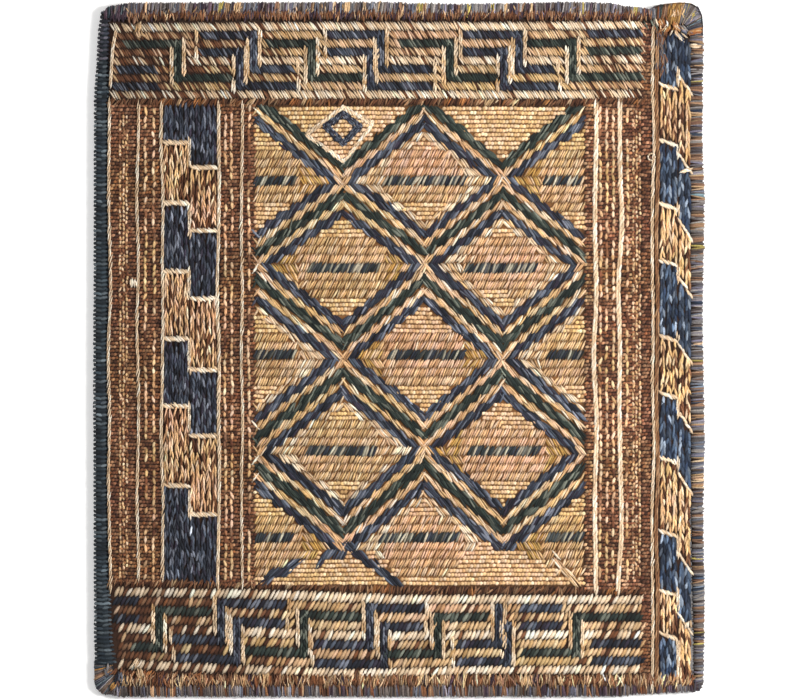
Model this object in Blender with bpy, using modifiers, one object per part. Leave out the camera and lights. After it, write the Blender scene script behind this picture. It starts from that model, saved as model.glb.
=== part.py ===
"""One pouch of a woven wool saddle bag, lying on its back with its face up.

Lengths at the top are in millimetres. The face is laid out as a weaver reads it:
"across" runs from the left edge and is counted in warps, and "down" runs from the
mouth edge and is counted in picks, the rows of weft. The part itself is in metres,
with +Y toward the mouth and +Z out of the face.
"""
import math

import bmesh
import bpy
from mathutils import Vector

MM = 0.001

# Whole bag.
BAG_WIDTH = 291.4
BAG_HEIGHT = 331.0
CLEARANCE = 0.3
WARP_COUNT = 194
PICK_COUNT = 160

# The two cloths and the slack between them.
CLOTH_THICKNESS = 3.0
RIB_DEPTH = 0.5
RIB_COUNT = 48
POUCH_RISE = 9.0
FULLEST_AT = 0.55
MOUTH_SHARE = 0.8
BACK_EDGE_ROUNDING = 0.5
PANEL_COLUMN_COUNT = 10

# Edge bindings: width seen from the front.
SELVEDGE_WIDTH = 7.1
RIGHT_BINDING_WIDTH = 7.2
MOUTH_BINDING_WIDTH = 8.6
BOTTOM_BINDING_WIDTH = 8.6
BINDING_BULGE = 0.6
BINDING_RIB_DEPTH = 0.35
BINDING_END_DENT = 1.05
BINDING_SIDE_COUNT = 8
LONG_RIB_COUNT = 28
SHORT_RIB_COUNT = 24
BINDING_SQUARENESS = 0.7
TOP_LEFT_TAPER = 4.2
TOP_LEFT_TAPER_LENGTH = 40.0
EDGE_WAVE = 0.5
EDGE_WAVE_LENGTH = 120.0
FLOOR_LIFT = 0.2

# Folded and whipped corner at the right end of the mouth.
CORNER_WIDTH = 24.1
CORNER_HEIGHT = 15.9
CORNER_SQUARENESS = 0.6
CORNER_SIDE_COUNT = 16
CORNER_RING_COUNT = 8

# Heights above the ribs of the face.
BROWN_THICKNESS = 0.6
WRAP_THICKNESS = 1.2
WRAP_ROUNDING = 0.35
CUT_STEP = 31.0

# Wrapped rows of the two meander borders: first row and pitch in picks, uprights in warps.
SIDE_TILT = 0.0125
TOP_ROW_PICKS = (6.75, 1.96)
BOTTOM_ROW_PICKS = (136.75, 2.07)
STROKE_WARPS = 2.25
BAR_SHARE = 0.98
ROWS_IN_A_Z = 4

# Each Z of a border, in warps: left end, left side of its upright, right end.
TOP_GREEN = ((9.5, 25.5, 44.5), (55, 68, 86), (97, 112, 128.5), (138, 151, 174))
TOP_OUTER = ((33.5, 50, 64), (74.5, 90, 107.5), (117.5, 134, 146.5))
TOP_INNER = ((33.5, 45.5, 64.5), (74.5, 87, 107.5), (117.5, 129, 147))
BOTTOM_GREEN = ((11.5, 19.5, 37.5), (48, 65.5, 84.5), (94, 108, 126), (136.5, 152, 174))
BOTTOM_OUTER = ((25.5, 39.5, 61), (70, 86.5, 105), (115, 127, 129.5))
BOTTOM_INNER = ((26.5, 44.5, 60.5), (70.5, 91, 104.5), (115, 130.5, 132.5))
BOTTOM_SHORT_OUTER = (134.5, 149.5)
BOTTOM_SHORT_INNER = (135, 148.5)

# Ends of the borders, in warps, where the outer and inner bars meet at the edge.
TOP_LEFT_END = (5.5, 20.5)
TOP_RIGHT_END = (157, 174)
BOTTOM_LEFT_END = (5.5, 13.5)
BOTTOM_RIGHT_END = (158, 174)

# Stepped blocks. Across, in warps: left side, step, right side.
# Down, in picks: top and bottom of the left half, then of the right half.
LEFT_BLOCK_WARPS = (22, 30.5, 39.5)
LEFT_BLOCKS = (
    (24.5, 31.5, 24.5, 37.5),
    (47, 61, 53.5, 67.5),
    (78.5, 92, 85.5, 99),
    (112.5, 132, 119, 133),
)
RIGHT_BLOCK_WARPS = (179, 185.5, 188.5)
RIGHT_BLOCKS = (
    (8.5, 18, 9.5, 18.5),
    (33.5, 46.5, 38, 51.5),
    (61, 76.5, 66.5, 80),
    (91.5, 104.5, 97.5, 110),
    (123.5, 135.5, 130, 142.5),
    (147, 155, 148.5, 155),
)

# Brown ground: its sides and the openings between its stripes in warps, its rows in picks.
BROWN_WARPS = (5.5, 177)
BROWN_PICKS = (22, 135)
BROWN_ROW_PICKS = (24, 133.25)
BROWN_TALL_PICKS = (9.5, 155)
BROWN_OPENINGS = (
    (13.5, 14.5),
    (21, 40.5),
    (47.5, 48.5),
    (50.5, 155.5),
    (158.5, 159.5),
    (166.5, 167.5),
    (171, 174.5),
)

# Field with its lozenges: sides and columns in warps, rows and stripes in picks.
FIELD_WARPS = (52.5, 155.25)
FIELD_PICKS = (24.25, 125)
COLUMN_START_WARPS = 54
COLUMN_PITCH_WARPS = 25.25
COLUMN_COUNT = 5
ROW_START_PICKS = 40.25
ROW_PITCH_PICKS = 21
ROW_COUNT = 5
GREEN_STRIPE_PICKS = 3.5
LIGHT_STRIPE_PICKS = 2
BLUE_STRIPE_PICKS = 2.25
TIE_HALF_WIDTH = 0.8

# Dark bars inside the lozenges: their row in picks, then their ends in warps.
BAR_PICKS = 2.25
BARS = (
    (41, ((51.5, 64.5), (92, 117.5), (142.5, 154.5))),
    (61, ((68.5, 91), (118, 140.5))),
    (81.5, ((51.5, 64), (93.5, 118), (144.5, 155))),
    (103, ((67.5, 89.5), (119, 141.5))),
    (124, ((51.5, 63.5), (91, 115.5), (144, 155))),
)
DIAMOND_WARPS = 79.25
DIAMOND_PICKS = 29.25
DIAMOND_HALF_WARPS = 6
DIAMOND_HALF_PICKS = 3.9
DIAMOND_OPEN_SHARE = 0.55

# Values that follow from the ones above.
WARP_PITCH = BAG_WIDTH / WARP_COUNT
PICK_PITCH = BAG_HEIGHT / PICK_COUNT
PANEL_LEFT = SELVEDGE_WIDTH + CLEARANCE
PANEL_RIGHT = BAG_WIDTH - RIGHT_BINDING_WIDTH - CLEARANCE
PANEL_TOP = MOUTH_BINDING_WIDTH + CLEARANCE
PANEL_BOTTOM = BAG_HEIGHT - BOTTOM_BINDING_WIDTH - CLEARANCE
NOTCH_ACROSS = BAG_WIDTH - CORNER_WIDTH - CLEARANCE
NOTCH_DOWN = CORNER_HEIGHT + CLEARANCE
HALF_SPAN = (PANEL_RIGHT - PANEL_LEFT) / 2
STROKE_WIDTH = STROKE_WARPS * WARP_PITCH
COLUMN_PITCH = COLUMN_PITCH_WARPS * WARP_PITCH
ROW_PITCH = ROW_PITCH_PICKS * PICK_PITCH
LIGHT_STRIPE = LIGHT_STRIPE_PICKS * PICK_PITCH
BLUE_STRIPE = BLUE_STRIPE_PICKS * PICK_PITCH
LOZENGE_HALF_HEIGHT = ROW_PITCH - GREEN_STRIPE_PICKS * PICK_PITCH - LIGHT_STRIPE
LOZENGE_SLOPE = LOZENGE_HALF_HEIGHT / COLUMN_PITCH

# Smallest distances and angles told apart when a mesh is made.
WELD_DISTANCE = 0.000002
RIM_WELD_DISTANCE = 0.00001
CUT_DISTANCE = 0.00002
FLAT_ANGLE = 0.02

COLOURS = {
    "tan_wool": (0.55, 0.36, 0.16),
    "back_wool": (0.25, 0.12, 0.055),
    "selvedge_wool": (0.014, 0.028, 0.045),
    "edge_wool": (0.085, 0.085, 0.105),
    "mouth_wool": (0.14, 0.085, 0.075),
    "corner_wool": (0.42, 0.2, 0.07),
    "brown_wool": (0.15, 0.055, 0.024),
    "indigo_wool": (0.024, 0.042, 0.075),
    "green_wool": (0.019, 0.04, 0.042),
}
WOOL_ROUGHNESS = 0.9


def clear_scene():
    for item in list(bpy.data.objects):
        bpy.data.objects.remove(item, do_unlink=True)


def wool(name):
    """A matt wool material in one of the named colours."""
    if name in bpy.data.materials:
        return bpy.data.materials[name]
    material = bpy.data.materials.new(name)
    material.use_nodes = True
    shader = material.node_tree.nodes["Principled BSDF"]
    red, green, blue = COLOURS[name]
    shader.inputs["Base Color"].default_value = (red, green, blue, 1.0)
    shader.inputs["Roughness"].default_value = WOOL_ROUGHNESS
    shader.inputs["Metallic"].default_value = 0.0
    material.diffuse_color = (red, green, blue, 1.0)
    return material


def warps(counts):
    """Places across, in millimetres, of a row of warp counts."""
    return [count * WARP_PITCH for count in counts]


def picks(counts):
    """Places down, in millimetres, of a row of pick counts."""
    return [count * PICK_PITCH for count in counts]


def to_x(across):
    return (across - BAG_WIDTH / 2) * MM


def to_y(down):
    return (BAG_HEIGHT / 2 - down) * MM


def slack(across, down):
    """Height in millimetres of the hollow between the two cloths."""
    side = (across - (PANEL_LEFT + PANEL_RIGHT) / 2) / HALF_SPAN
    rise = max(0.0, 1.0 - side * side)
    share = (PANEL_BOTTOM - down) / PANEL_BOTTOM
    if share < FULLEST_AT:
        along = 1.0 - (1.0 - share / FULLEST_AT) ** 2
    else:
        along = 1.0 - (1.0 - MOUTH_SHARE) * ((share - FULLEST_AT) / (1.0 - FULLEST_AT)) ** 2
    return CLEARANCE + POUCH_RISE * rise * max(0.0, along)


def face_height(across, down):
    """Height in millimetres of the rib crests of the face."""
    return 2 * CLOTH_THICKNESS + slack(across, down)


def column_lines():
    """Across positions of the face's grid; the last but one is the side of the corner notch."""
    lines = []
    for index in range(PANEL_COLUMN_COUNT):
        lines.append(PANEL_LEFT + (NOTCH_ACROSS - PANEL_LEFT) * index / (PANEL_COLUMN_COUNT - 1))
    lines.append(PANEL_RIGHT)
    return lines


def row_lines():
    """Down positions of crest and furrow lines; one of them is the foot of the corner notch."""
    count = 2 * RIB_COUNT
    pitch = (PANEL_BOTTOM - PANEL_TOP) / count
    notch_rows = round((NOTCH_DOWN - PANEL_TOP) / pitch)
    lines = []
    for index in range(count + 1):
        if index <= notch_rows:
            lines.append(PANEL_TOP + (NOTCH_DOWN - PANEL_TOP) * index / notch_rows)
        else:
            share = (index - notch_rows) / (count - notch_rows)
            lines.append(NOTCH_DOWN + (PANEL_BOTTOM - NOTCH_DOWN) * share)
    return lines


def add_object(name, mesh, material, collection):
    item = bpy.data.objects.new(name, mesh)
    mesh.materials.clear()
    mesh.materials.append(wool(material))
    collection.objects.link(item)
    return item


def front_panel(collection):
    columns = column_lines()
    rows = row_lines()
    surface = bmesh.new()
    bmesh.ops.create_grid(surface, x_segments=PANEL_COLUMN_COUNT, y_segments=2 * RIB_COUNT, size=0.5)
    for vertex in surface.verts:
        across = columns[round((vertex.co.x + 0.5) * PANEL_COLUMN_COUNT)]
        row = round((0.5 - vertex.co.y) * 2 * RIB_COUNT)
        down = rows[row]
        furrow = RIB_DEPTH if row % 2 == 0 else 0.0
        vertex.co = Vector((to_x(across), to_y(down), (face_height(across, down) - furrow) * MM))
    notch = []
    for face in surface.faces:
        middle = face.calc_center_median()
        if middle.x > to_x(NOTCH_ACROSS) and middle.y > to_y(NOTCH_DOWN):
            notch.append(face)
    bmesh.ops.delete(surface, geom=notch, context="FACES")
    bmesh.ops.recalc_face_normals(surface, faces=surface.faces)
    if surface.faces[:][0].normal.z < 0:
        bmesh.ops.reverse_faces(surface, faces=surface.faces)
    mesh = bpy.data.meshes.new("front_panel")
    surface.to_mesh(mesh)
    surface.free()
    panel = add_object("front_panel", mesh, "tan_wool", collection)
    shell = panel.modifiers.new("cloth", "SOLIDIFY")
    shell.thickness = (CLOTH_THICKNESS - RIB_DEPTH) * MM
    shell.offset = -1.0
    return panel


def back_panel(collection):
    surface = bmesh.new()
    bmesh.ops.create_grid(surface, x_segments=1, y_segments=1, size=0.5)
    for vertex in surface.verts:
        across = PANEL_LEFT if vertex.co.x < 0 else PANEL_RIGHT
        down = CLEARANCE if vertex.co.y > 0 else PANEL_BOTTOM
        vertex.co = Vector((to_x(across), to_y(down), CLOTH_THICKNESS * MM))
    mesh = bpy.data.meshes.new("back_panel")
    surface.to_mesh(mesh)
    surface.free()
    panel = add_object("back_panel", mesh, "back_wool", collection)
    shell = panel.modifiers.new("cloth", "SOLIDIFY")
    shell.thickness = CLOTH_THICKNESS * MM
    shell.offset = -1.0
    rounding = panel.modifiers.new("soft_edge", "BEVEL")
    rounding.width = BACK_EDGE_ROUNDING * MM
    rounding.segments = 1
    rounding.limit_method = "ANGLE"
    return panel


def squared(value):
    """Cosine or sine drawn toward a square, so that a section fills its box."""
    return math.copysign(abs(value) ** BINDING_SQUARENESS, value)


def binding(name, material, station, ribs, collection):
    """A wrapped edge. station(share) gives middle, half sizes and long axis, in millimetres."""
    steps = 2 * ribs
    tube = bmesh.new()
    bmesh.ops.create_grid(tube, x_segments=steps, y_segments=BINDING_SIDE_COUNT, size=0.5)
    for vertex in tube.verts:
        index = round((vertex.co.x + 0.5) * steps)
        angle = 2 * math.pi * (vertex.co.y + 0.5)
        across, down, height, half_wide, half_tall, along_x = station(index / steps)
        dent = BINDING_RIB_DEPTH if index % 2 == 0 else 0.0
        if index in (0, steps):
            dent = BINDING_END_DENT
        side = (half_wide - dent) * squared(math.cos(angle))
        up = (half_tall - dent) * squared(math.sin(angle))
        if along_x:
            place = (to_x(across), to_y(down + side), (height + up) * MM)
        else:
            place = (to_x(across + side), to_y(down), (height + up) * MM)
        vertex.co = Vector(place)
    bmesh.ops.remove_doubles(tube, verts=tube.verts, dist=RIM_WELD_DISTANCE)
    rims = [edge for edge in tube.edges if edge.is_boundary]
    bmesh.ops.holes_fill(tube, edges=rims, sides=0)
    bmesh.ops.recalc_face_normals(tube, faces=tube.faces)
    for face in tube.faces:
        face.smooth = len(face.verts) == 4
    mesh = bpy.data.meshes.new(name)
    tube.to_mesh(mesh)
    tube.free()
    return add_object(name, mesh, material, collection)


def side_height():
    """Half height of a binding that takes in both cloths."""
    return (2 * CLOTH_THICKNESS + CLEARANCE + BINDING_BULGE) / 2


def selvedge_station(share):
    down = share * BAG_HEIGHT
    taper = TOP_LEFT_TAPER * max(0.0, 1.0 - down / TOP_LEFT_TAPER_LENGTH) ** 2
    half = (SELVEDGE_WIDTH - taper) / 2
    return SELVEDGE_WIDTH - half, down, side_height() + FLOOR_LIFT, half, side_height(), False


def right_station(share):
    down = NOTCH_DOWN + share * (BAG_HEIGHT - NOTCH_DOWN)
    wave = EDGE_WAVE * math.sin(2 * math.pi * down / EDGE_WAVE_LENGTH) ** 2
    half = (RIGHT_BINDING_WIDTH - wave) / 2
    middle = BAG_WIDTH - RIGHT_BINDING_WIDTH + half
    return middle, down, side_height() + FLOOR_LIFT, half, side_height(), False


def bottom_station(share):
    start = SELVEDGE_WIDTH + CLEARANCE
    end = BAG_WIDTH - RIGHT_BINDING_WIDTH - CLEARANCE
    across = start + share * (end - start)
    half = BOTTOM_BINDING_WIDTH / 2
    return across, BAG_HEIGHT - half, side_height() + FLOOR_LIFT, half, side_height(), True


def mouth_station(share):
    start = SELVEDGE_WIDTH + CLEARANCE
    across = start + share * (NOTCH_ACROSS - start)
    half = MOUTH_BINDING_WIDTH / 2
    half_tall = (CLOTH_THICKNESS + 2 * BINDING_BULGE) / 2
    height = CLOTH_THICKNESS + slack(across, half) + half_tall
    return across, half, height, half, half_tall, True


def corner_fold(collection):
    """Small pillow of whipped cloth at the right end of the mouth."""
    lump = bmesh.new()
    bmesh.ops.create_uvsphere(lump, u_segments=CORNER_SIDE_COUNT, v_segments=CORNER_RING_COUNT, radius=1.0)
    low = CLOTH_THICKNESS + CLEARANCE
    high = 2 * side_height() + 2 * BINDING_BULGE
    for vertex in lump.verts:
        direction = vertex.co.copy()
        for axis in range(3):
            direction[axis] = math.copysign(abs(direction[axis]) ** CORNER_SQUARENESS, direction[axis])
        across = BAG_WIDTH - CORNER_WIDTH / 2 + direction.x * CORNER_WIDTH / 2
        down = CORNER_HEIGHT / 2 - direction.y * CORNER_HEIGHT / 2
        height = (low + high) / 2 + direction.z * (high - low) / 2
        vertex.co = Vector((to_x(across), to_y(down), height * MM))
    bmesh.ops.recalc_face_normals(lump, faces=lump.faces)
    for face in lump.faces:
        face.smooth = True
    mesh = bpy.data.meshes.new("corner_fold")
    lump.to_mesh(mesh)
    lump.free()
    return add_object("corner_fold", mesh, "corner_wool", collection)


def flat_mesh(name, outlines, thickness, rounding):
    """Mesh of a flat area, from closed outlines of (across, down); inner outlines are openings."""
    curve = bpy.data.curves.new(name, "CURVE")
    curve.dimensions = "2D"
    curve.fill_mode = "BOTH"
    curve.extrude = (thickness / 2 - rounding) * MM
    curve.bevel_depth = rounding * MM
    curve.bevel_resolution = 0
    curve.offset = -rounding * MM
    for outline in outlines:
        spline = curve.splines.new("POLY")
        spline.points.add(len(outline) - 1)
        for point, (across, down) in zip(spline.points, outline):
            point.co = (to_x(across), to_y(down), 0.0, 1.0)
        spline.use_cyclic_u = True
    source = bpy.data.objects.new(name + "_outline", curve)
    bpy.context.scene.collection.objects.link(source)
    bpy.context.view_layer.update()
    shape = source.evaluated_get(bpy.context.evaluated_depsgraph_get())
    mesh = bpy.data.meshes.new_from_object(shape)
    bpy.data.objects.remove(source, do_unlink=True)
    mesh.name = name
    closed = bmesh.new()
    closed.from_mesh(mesh)
    bmesh.ops.remove_doubles(closed, verts=closed.verts, dist=WELD_DISTANCE)
    bmesh.ops.recalc_face_normals(closed, faces=closed.faces)
    closed.to_mesh(mesh)
    closed.free()
    return mesh


def drape(mesh, thickness):
    """Lay a flat mesh over the face: cut it along the face's grid, then lift each corner."""
    cloth = bmesh.new()
    cloth.from_mesh(mesh)
    bmesh.ops.dissolve_limit(cloth, angle_limit=FLAT_ANGLE, verts=cloth.verts, edges=cloth.edges)
    for across in column_lines()[1:-1]:
        cut(cloth, Vector((to_x(across), 0, 0)), Vector((1, 0, 0)))
    line = CUT_STEP
    while line < BAG_HEIGHT:
        cut(cloth, Vector((0, to_y(line), 0)), Vector((0, 1, 0)))
        line += CUT_STEP
    for vertex in cloth.verts:
        across = vertex.co.x / MM + BAG_WIDTH / 2
        down = BAG_HEIGHT / 2 - vertex.co.y / MM
        vertex.co.z += (face_height(across, down) + CLEARANCE + thickness / 2) * MM
    bmesh.ops.triangulate(cloth, faces=cloth.faces)
    bmesh.ops.recalc_face_normals(cloth, faces=cloth.faces)
    cloth.to_mesh(mesh)
    cloth.free()


def cut(cloth, point, direction):
    parts = cloth.verts[:] + cloth.edges[:] + cloth.faces[:]
    bmesh.ops.bisect_plane(cloth, geom=parts, dist=CUT_DISTANCE, plane_co=point, plane_no=direction)


def wrapped_piece(name, outlines, material, collection):
    """A motif of wrapped yarn, proud of the face."""
    mesh = flat_mesh(name, outlines, WRAP_THICKNESS, WRAP_ROUNDING)
    drape(mesh, WRAP_THICKNESS)
    return add_object(name, mesh, material, collection)


def box_outline(left, right, top, bottom, tilt=0.0):
    corners = ((left, top), (right, top), (right, bottom), (left, bottom))
    return [(across, down + tilt * across) for across, down in corners]


def row_edges(start, pitch, row):
    """Top and bottom of one wrapped row."""
    spare = (1.0 - BAR_SHARE) * pitch / 2
    return start + row * pitch + spare, start + (row + 1) * pitch - spare


def z_outline(ends, row, start, pitch, upper_left, tilt):
    """A Z whose upper bar is on the left, or on the right where upper_left is false."""
    left, upright, right = warps(ends)
    high_top, high_bottom = row_edges(start, pitch, row)
    low_top, low_bottom = row_edges(start, pitch, row + ROWS_IN_A_Z)
    upright_end = upright + STROKE_WIDTH
    if upper_left:
        points = [
            (left, high_top), (upright_end, high_top), (upright_end, low_top), (right, low_top),
            (right, low_bottom), (upright, low_bottom), (upright, high_bottom), (left, high_bottom),
        ]
    elif right - upright_end < STROKE_WIDTH / 2:
        points = [
            (upright, high_top), (upright_end, high_top), (upright_end, low_bottom),
            (left, low_bottom), (left, low_top), (upright, low_top),
        ]
    else:
        points = [
            (upright, high_top), (right, high_top), (right, high_bottom), (upright_end, high_bottom),
            (upright_end, low_bottom), (left, low_bottom), (left, low_top), (upright, low_top),
        ]
    return [(across, down + tilt * across) for across, down in points]


def end_outline(ends, first_row, start, pitch, join_left, tilt):
    """The outer and inner bar of a cut-off repeat, joined along the border's end."""
    left, right = warps(ends)
    high_top, high_bottom = row_edges(start, pitch, first_row)
    low_top, low_bottom = row_edges(start, pitch, first_row + 2)
    if join_left:
        inner = left + STROKE_WIDTH / 2
        points = [
            (left, high_top), (right, high_top), (right, high_bottom), (inner, high_bottom),
            (inner, low_top), (right, low_top), (right, low_bottom), (left, low_bottom),
        ]
    else:
        inner = right - STROKE_WIDTH / 2
        points = [
            (left, high_top), (right, high_top), (right, low_bottom), (left, low_bottom),
            (left, low_top), (inner, low_top), (inner, high_bottom), (left, high_bottom),
        ]
    return [(across, down + tilt * across) for across, down in points]


def z_run(label, list_of_ends, row, start, pitch, upper_left, tilt, material, collection):
    for number, ends in enumerate(list_of_ends, 1):
        outline = z_outline(ends, row, start, pitch, upper_left, tilt)
        wrapped_piece(f"{label}_{number}", [outline], material, collection)


def top_border(collection):
    layout = picks(TOP_ROW_PICKS)
    z_run("top_outer_z", TOP_OUTER, 0, *layout, True, 0.0, "indigo_wool", collection)
    z_run("top_middle_z", TOP_GREEN, 1, *layout, True, 0.0, "green_wool", collection)
    z_run("top_inner_z", TOP_INNER, 2, *layout, True, 0.0, "indigo_wool", collection)
    left = end_outline(TOP_LEFT_END, ROWS_IN_A_Z, *layout, True, 0.0)
    wrapped_piece("top_left_end", [left], "indigo_wool", collection)
    right = end_outline(TOP_RIGHT_END, 0, *layout, False, 0.0)
    wrapped_piece("top_right_end", [right], "indigo_wool", collection)


def bottom_border(collection):
    layout = picks(BOTTOM_ROW_PICKS)
    z_run("bottom_outer_z", BOTTOM_OUTER, 0, *layout, False, SIDE_TILT, "indigo_wool", collection)
    z_run("bottom_middle_z", BOTTOM_GREEN, 1, *layout, False, SIDE_TILT, "green_wool", collection)
    z_run("bottom_inner_z", BOTTOM_INNER, 2, *layout, False, SIDE_TILT, "indigo_wool", collection)
    left = end_outline(BOTTOM_LEFT_END, 0, *layout, True, SIDE_TILT)
    wrapped_piece("bottom_left_end", [left], "indigo_wool", collection)
    right = end_outline(BOTTOM_RIGHT_END, ROWS_IN_A_Z, *layout, False, SIDE_TILT)
    wrapped_piece("bottom_right_end", [right], "indigo_wool", collection)
    for name, ends, row in (
        ("bottom_outer_bar", BOTTOM_SHORT_OUTER, 0),
        ("bottom_inner_bar", BOTTOM_SHORT_INNER, 2),
    ):
        outline = box_outline(*warps(ends), *row_edges(*layout, row), SIDE_TILT)
        wrapped_piece(name, [outline], "indigo_wool", collection)


def stepped_blocks(label, sides, blocks, collection):
    left, middle, right = warps(sides)
    for number, block in enumerate(blocks, 1):
        left_top, left_bottom, right_top, right_bottom = picks(block)
        outline = [(left, left_top), (middle, left_top)]
        if right_top != left_top:
            outline.append((middle, right_top))
        outline += [(right, right_top), (right, right_bottom), (middle, right_bottom)]
        if right_bottom != left_bottom:
            outline.append((middle, left_bottom))
        outline.append((left, left_bottom))
        if right_bottom == left_bottom:
            outline.remove((middle, right_bottom))
        if right_top == left_top:
            outline.remove((middle, left_top))
        wrapped_piece(f"{label}_{number}", [outline], "indigo_wool", collection)


def brown_ground(collection):
    """Brown weft in stripes beside the field, joined by a row above and a row below it."""
    left, right = warps(BROWN_WARPS)
    top, bottom = picks(BROWN_PICKS)
    row_top, row_bottom = picks(BROWN_ROW_PICKS)
    tall_top, tall_bottom = picks(BROWN_TALL_PICKS)
    tall_left = BROWN_OPENINGS[-1][1] * WARP_PITCH
    edge = [
        (left, top), (tall_left, top), (tall_left, tall_top), (right, tall_top),
        (right, tall_bottom), (tall_left, tall_bottom),
        (tall_left, bottom + SIDE_TILT * tall_left), (left, bottom + SIDE_TILT * left),
    ]
    outlines = [edge]
    for opening in BROWN_OPENINGS:
        start, end = warps(opening)
        outlines.append([
            (start, row_top), (end, row_top),
            (end, row_bottom + SIDE_TILT * end), (start, row_bottom + SIDE_TILT * start),
        ])
    mesh = flat_mesh("brown_ground", outlines, BROWN_THICKNESS, 0.0)
    drape(mesh, BROWN_THICKNESS)
    return add_object("brown_ground", mesh, "brown_wool", collection)


def diamond_outline(across, down, half_wide, half_tall):
    return [
        (across, down - half_tall), (across + half_wide, down),
        (across, down + half_tall), (across - half_wide, down),
    ]


def crossing_outline(across, down, field_top):
    """The light X at a crossing: arms that stop short of the next column and of the field's top."""
    half = LIGHT_STRIPE / 2
    reach = COLUMN_PITCH - TIE_HALF_WIDTH
    drop = LOZENGE_SLOPE * reach
    high_reach = min(reach, (down - half - field_top - TIE_HALF_WIDTH) / LOZENGE_SLOPE)
    rise = LOZENGE_SLOPE * high_reach
    waist = half / LOZENGE_SLOPE
    return [
        (across, down - half), (across + high_reach, down - rise - half),
        (across + high_reach, down - rise + half), (across + waist, down),
        (across + reach, down + drop - half), (across + reach, down + drop + half),
        (across, down + half), (across - reach, down + drop + half),
        (across - reach, down + drop - half), (across - waist, down),
        (across - high_reach, down - rise + half), (across - high_reach, down - rise - half),
    ]


def lattice_openings(field_top):
    """Outlines cut from the field to leave the dark lattice."""
    outlines = []
    clear = LOZENGE_HALF_HEIGHT - LIGHT_STRIPE / 2 - BLUE_STRIPE
    bare = LOZENGE_HALF_HEIGHT + LIGHT_STRIPE / 2
    for row in range(-1, ROW_COUNT):
        for column in range(-1, COLUMN_COUNT + 1):
            across = COLUMN_START_WARPS * WARP_PITCH + column * COLUMN_PITCH
            down = ROW_START_PICKS * PICK_PITCH + row * ROW_PITCH
            if (row + column) % 2 == 0:
                half_tall = clear if row >= 0 else bare
                half_wide = half_tall / LOZENGE_SLOPE
                outlines.append(diamond_outline(across, down, half_wide, half_tall))
            elif row >= 0:
                outlines.append(crossing_outline(across, down, field_top))
    return outlines


def lattice(collection):
    """Dark stripes between the lozenges, tied together across the light lines."""
    field_top, field_bottom = picks(FIELD_PICKS)
    field = box_outline(*warps(FIELD_WARPS), field_top, field_bottom)
    mesh = flat_mesh("lattice", [field], WRAP_THICKNESS, 0.0)
    item = add_object("lattice", mesh, "indigo_wool", collection)
    cutter_mesh = bpy.data.meshes.new("lattice_cutter")
    merged = bmesh.new()
    for number, outline in enumerate(lattice_openings(field_top)):
        single = flat_mesh(f"opening_{number}", [outline], 4 * WRAP_THICKNESS, 0.0)
        merged.from_mesh(single)
        bpy.data.meshes.remove(single)
    merged.to_mesh(cutter_mesh)
    merged.free()
    cutter = bpy.data.objects.new("lattice_cutter", cutter_mesh)
    bpy.context.scene.collection.objects.link(cutter)
    opening = item.modifiers.new("openings", "BOOLEAN")
    opening.operation = "DIFFERENCE"
    opening.solver = "EXACT"
    opening.object = cutter
    bpy.context.view_layer.update()
    shape = item.evaluated_get(bpy.context.evaluated_depsgraph_get())
    result = bpy.data.meshes.new_from_object(shape)
    item.modifiers.remove(opening)
    bpy.data.objects.remove(cutter, do_unlink=True)
    drape(result, WRAP_THICKNESS)
    item.data = result
    return item


def field_bars(collection):
    number = 0
    for row, bars in BARS:
        for ends in bars:
            number += 1
            outline = box_outline(*warps(ends), *picks((row - BAR_PICKS / 2, row + BAR_PICKS / 2)))
            wrapped_piece(f"field_bar_{number}", [outline], "green_wool", collection)


def small_diamond(collection):
    across, half_wide = warps((DIAMOND_WARPS, DIAMOND_HALF_WARPS))
    down, half_tall = picks((DIAMOND_PICKS, DIAMOND_HALF_PICKS))
    outer = diamond_outline(across, down, half_wide, half_tall)
    inner = diamond_outline(across, down, half_wide * DIAMOND_OPEN_SHARE, half_tall * DIAMOND_OPEN_SHARE)
    wrapped_piece("small_diamond", [outer, inner], "indigo_wool", collection)


def build():
    clear_scene()
    collection = bpy.data.collections.new("kilim_saddle_bag")
    bpy.context.scene.collection.children.link(collection)
    front_panel(collection)
    back_panel(collection)
    binding("left_selvedge", "selvedge_wool", selvedge_station, LONG_RIB_COUNT, collection)
    binding("right_binding", "edge_wool", right_station, LONG_RIB_COUNT, collection)
    binding("bottom_binding", "edge_wool", bottom_station, SHORT_RIB_COUNT, collection)
    binding("mouth_binding", "mouth_wool", mouth_station, SHORT_RIB_COUNT, collection)
    corner_fold(collection)
    brown_ground(collection)
    top_border(collection)
    bottom_border(collection)
    stepped_blocks("left_block", LEFT_BLOCK_WARPS, LEFT_BLOCKS, collection)
    stepped_blocks("right_block", RIGHT_BLOCK_WARPS, RIGHT_BLOCKS, collection)
    lattice(collection)
    field_bars(collection)
    small_diamond(collection)


build()
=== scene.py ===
import math

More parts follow.
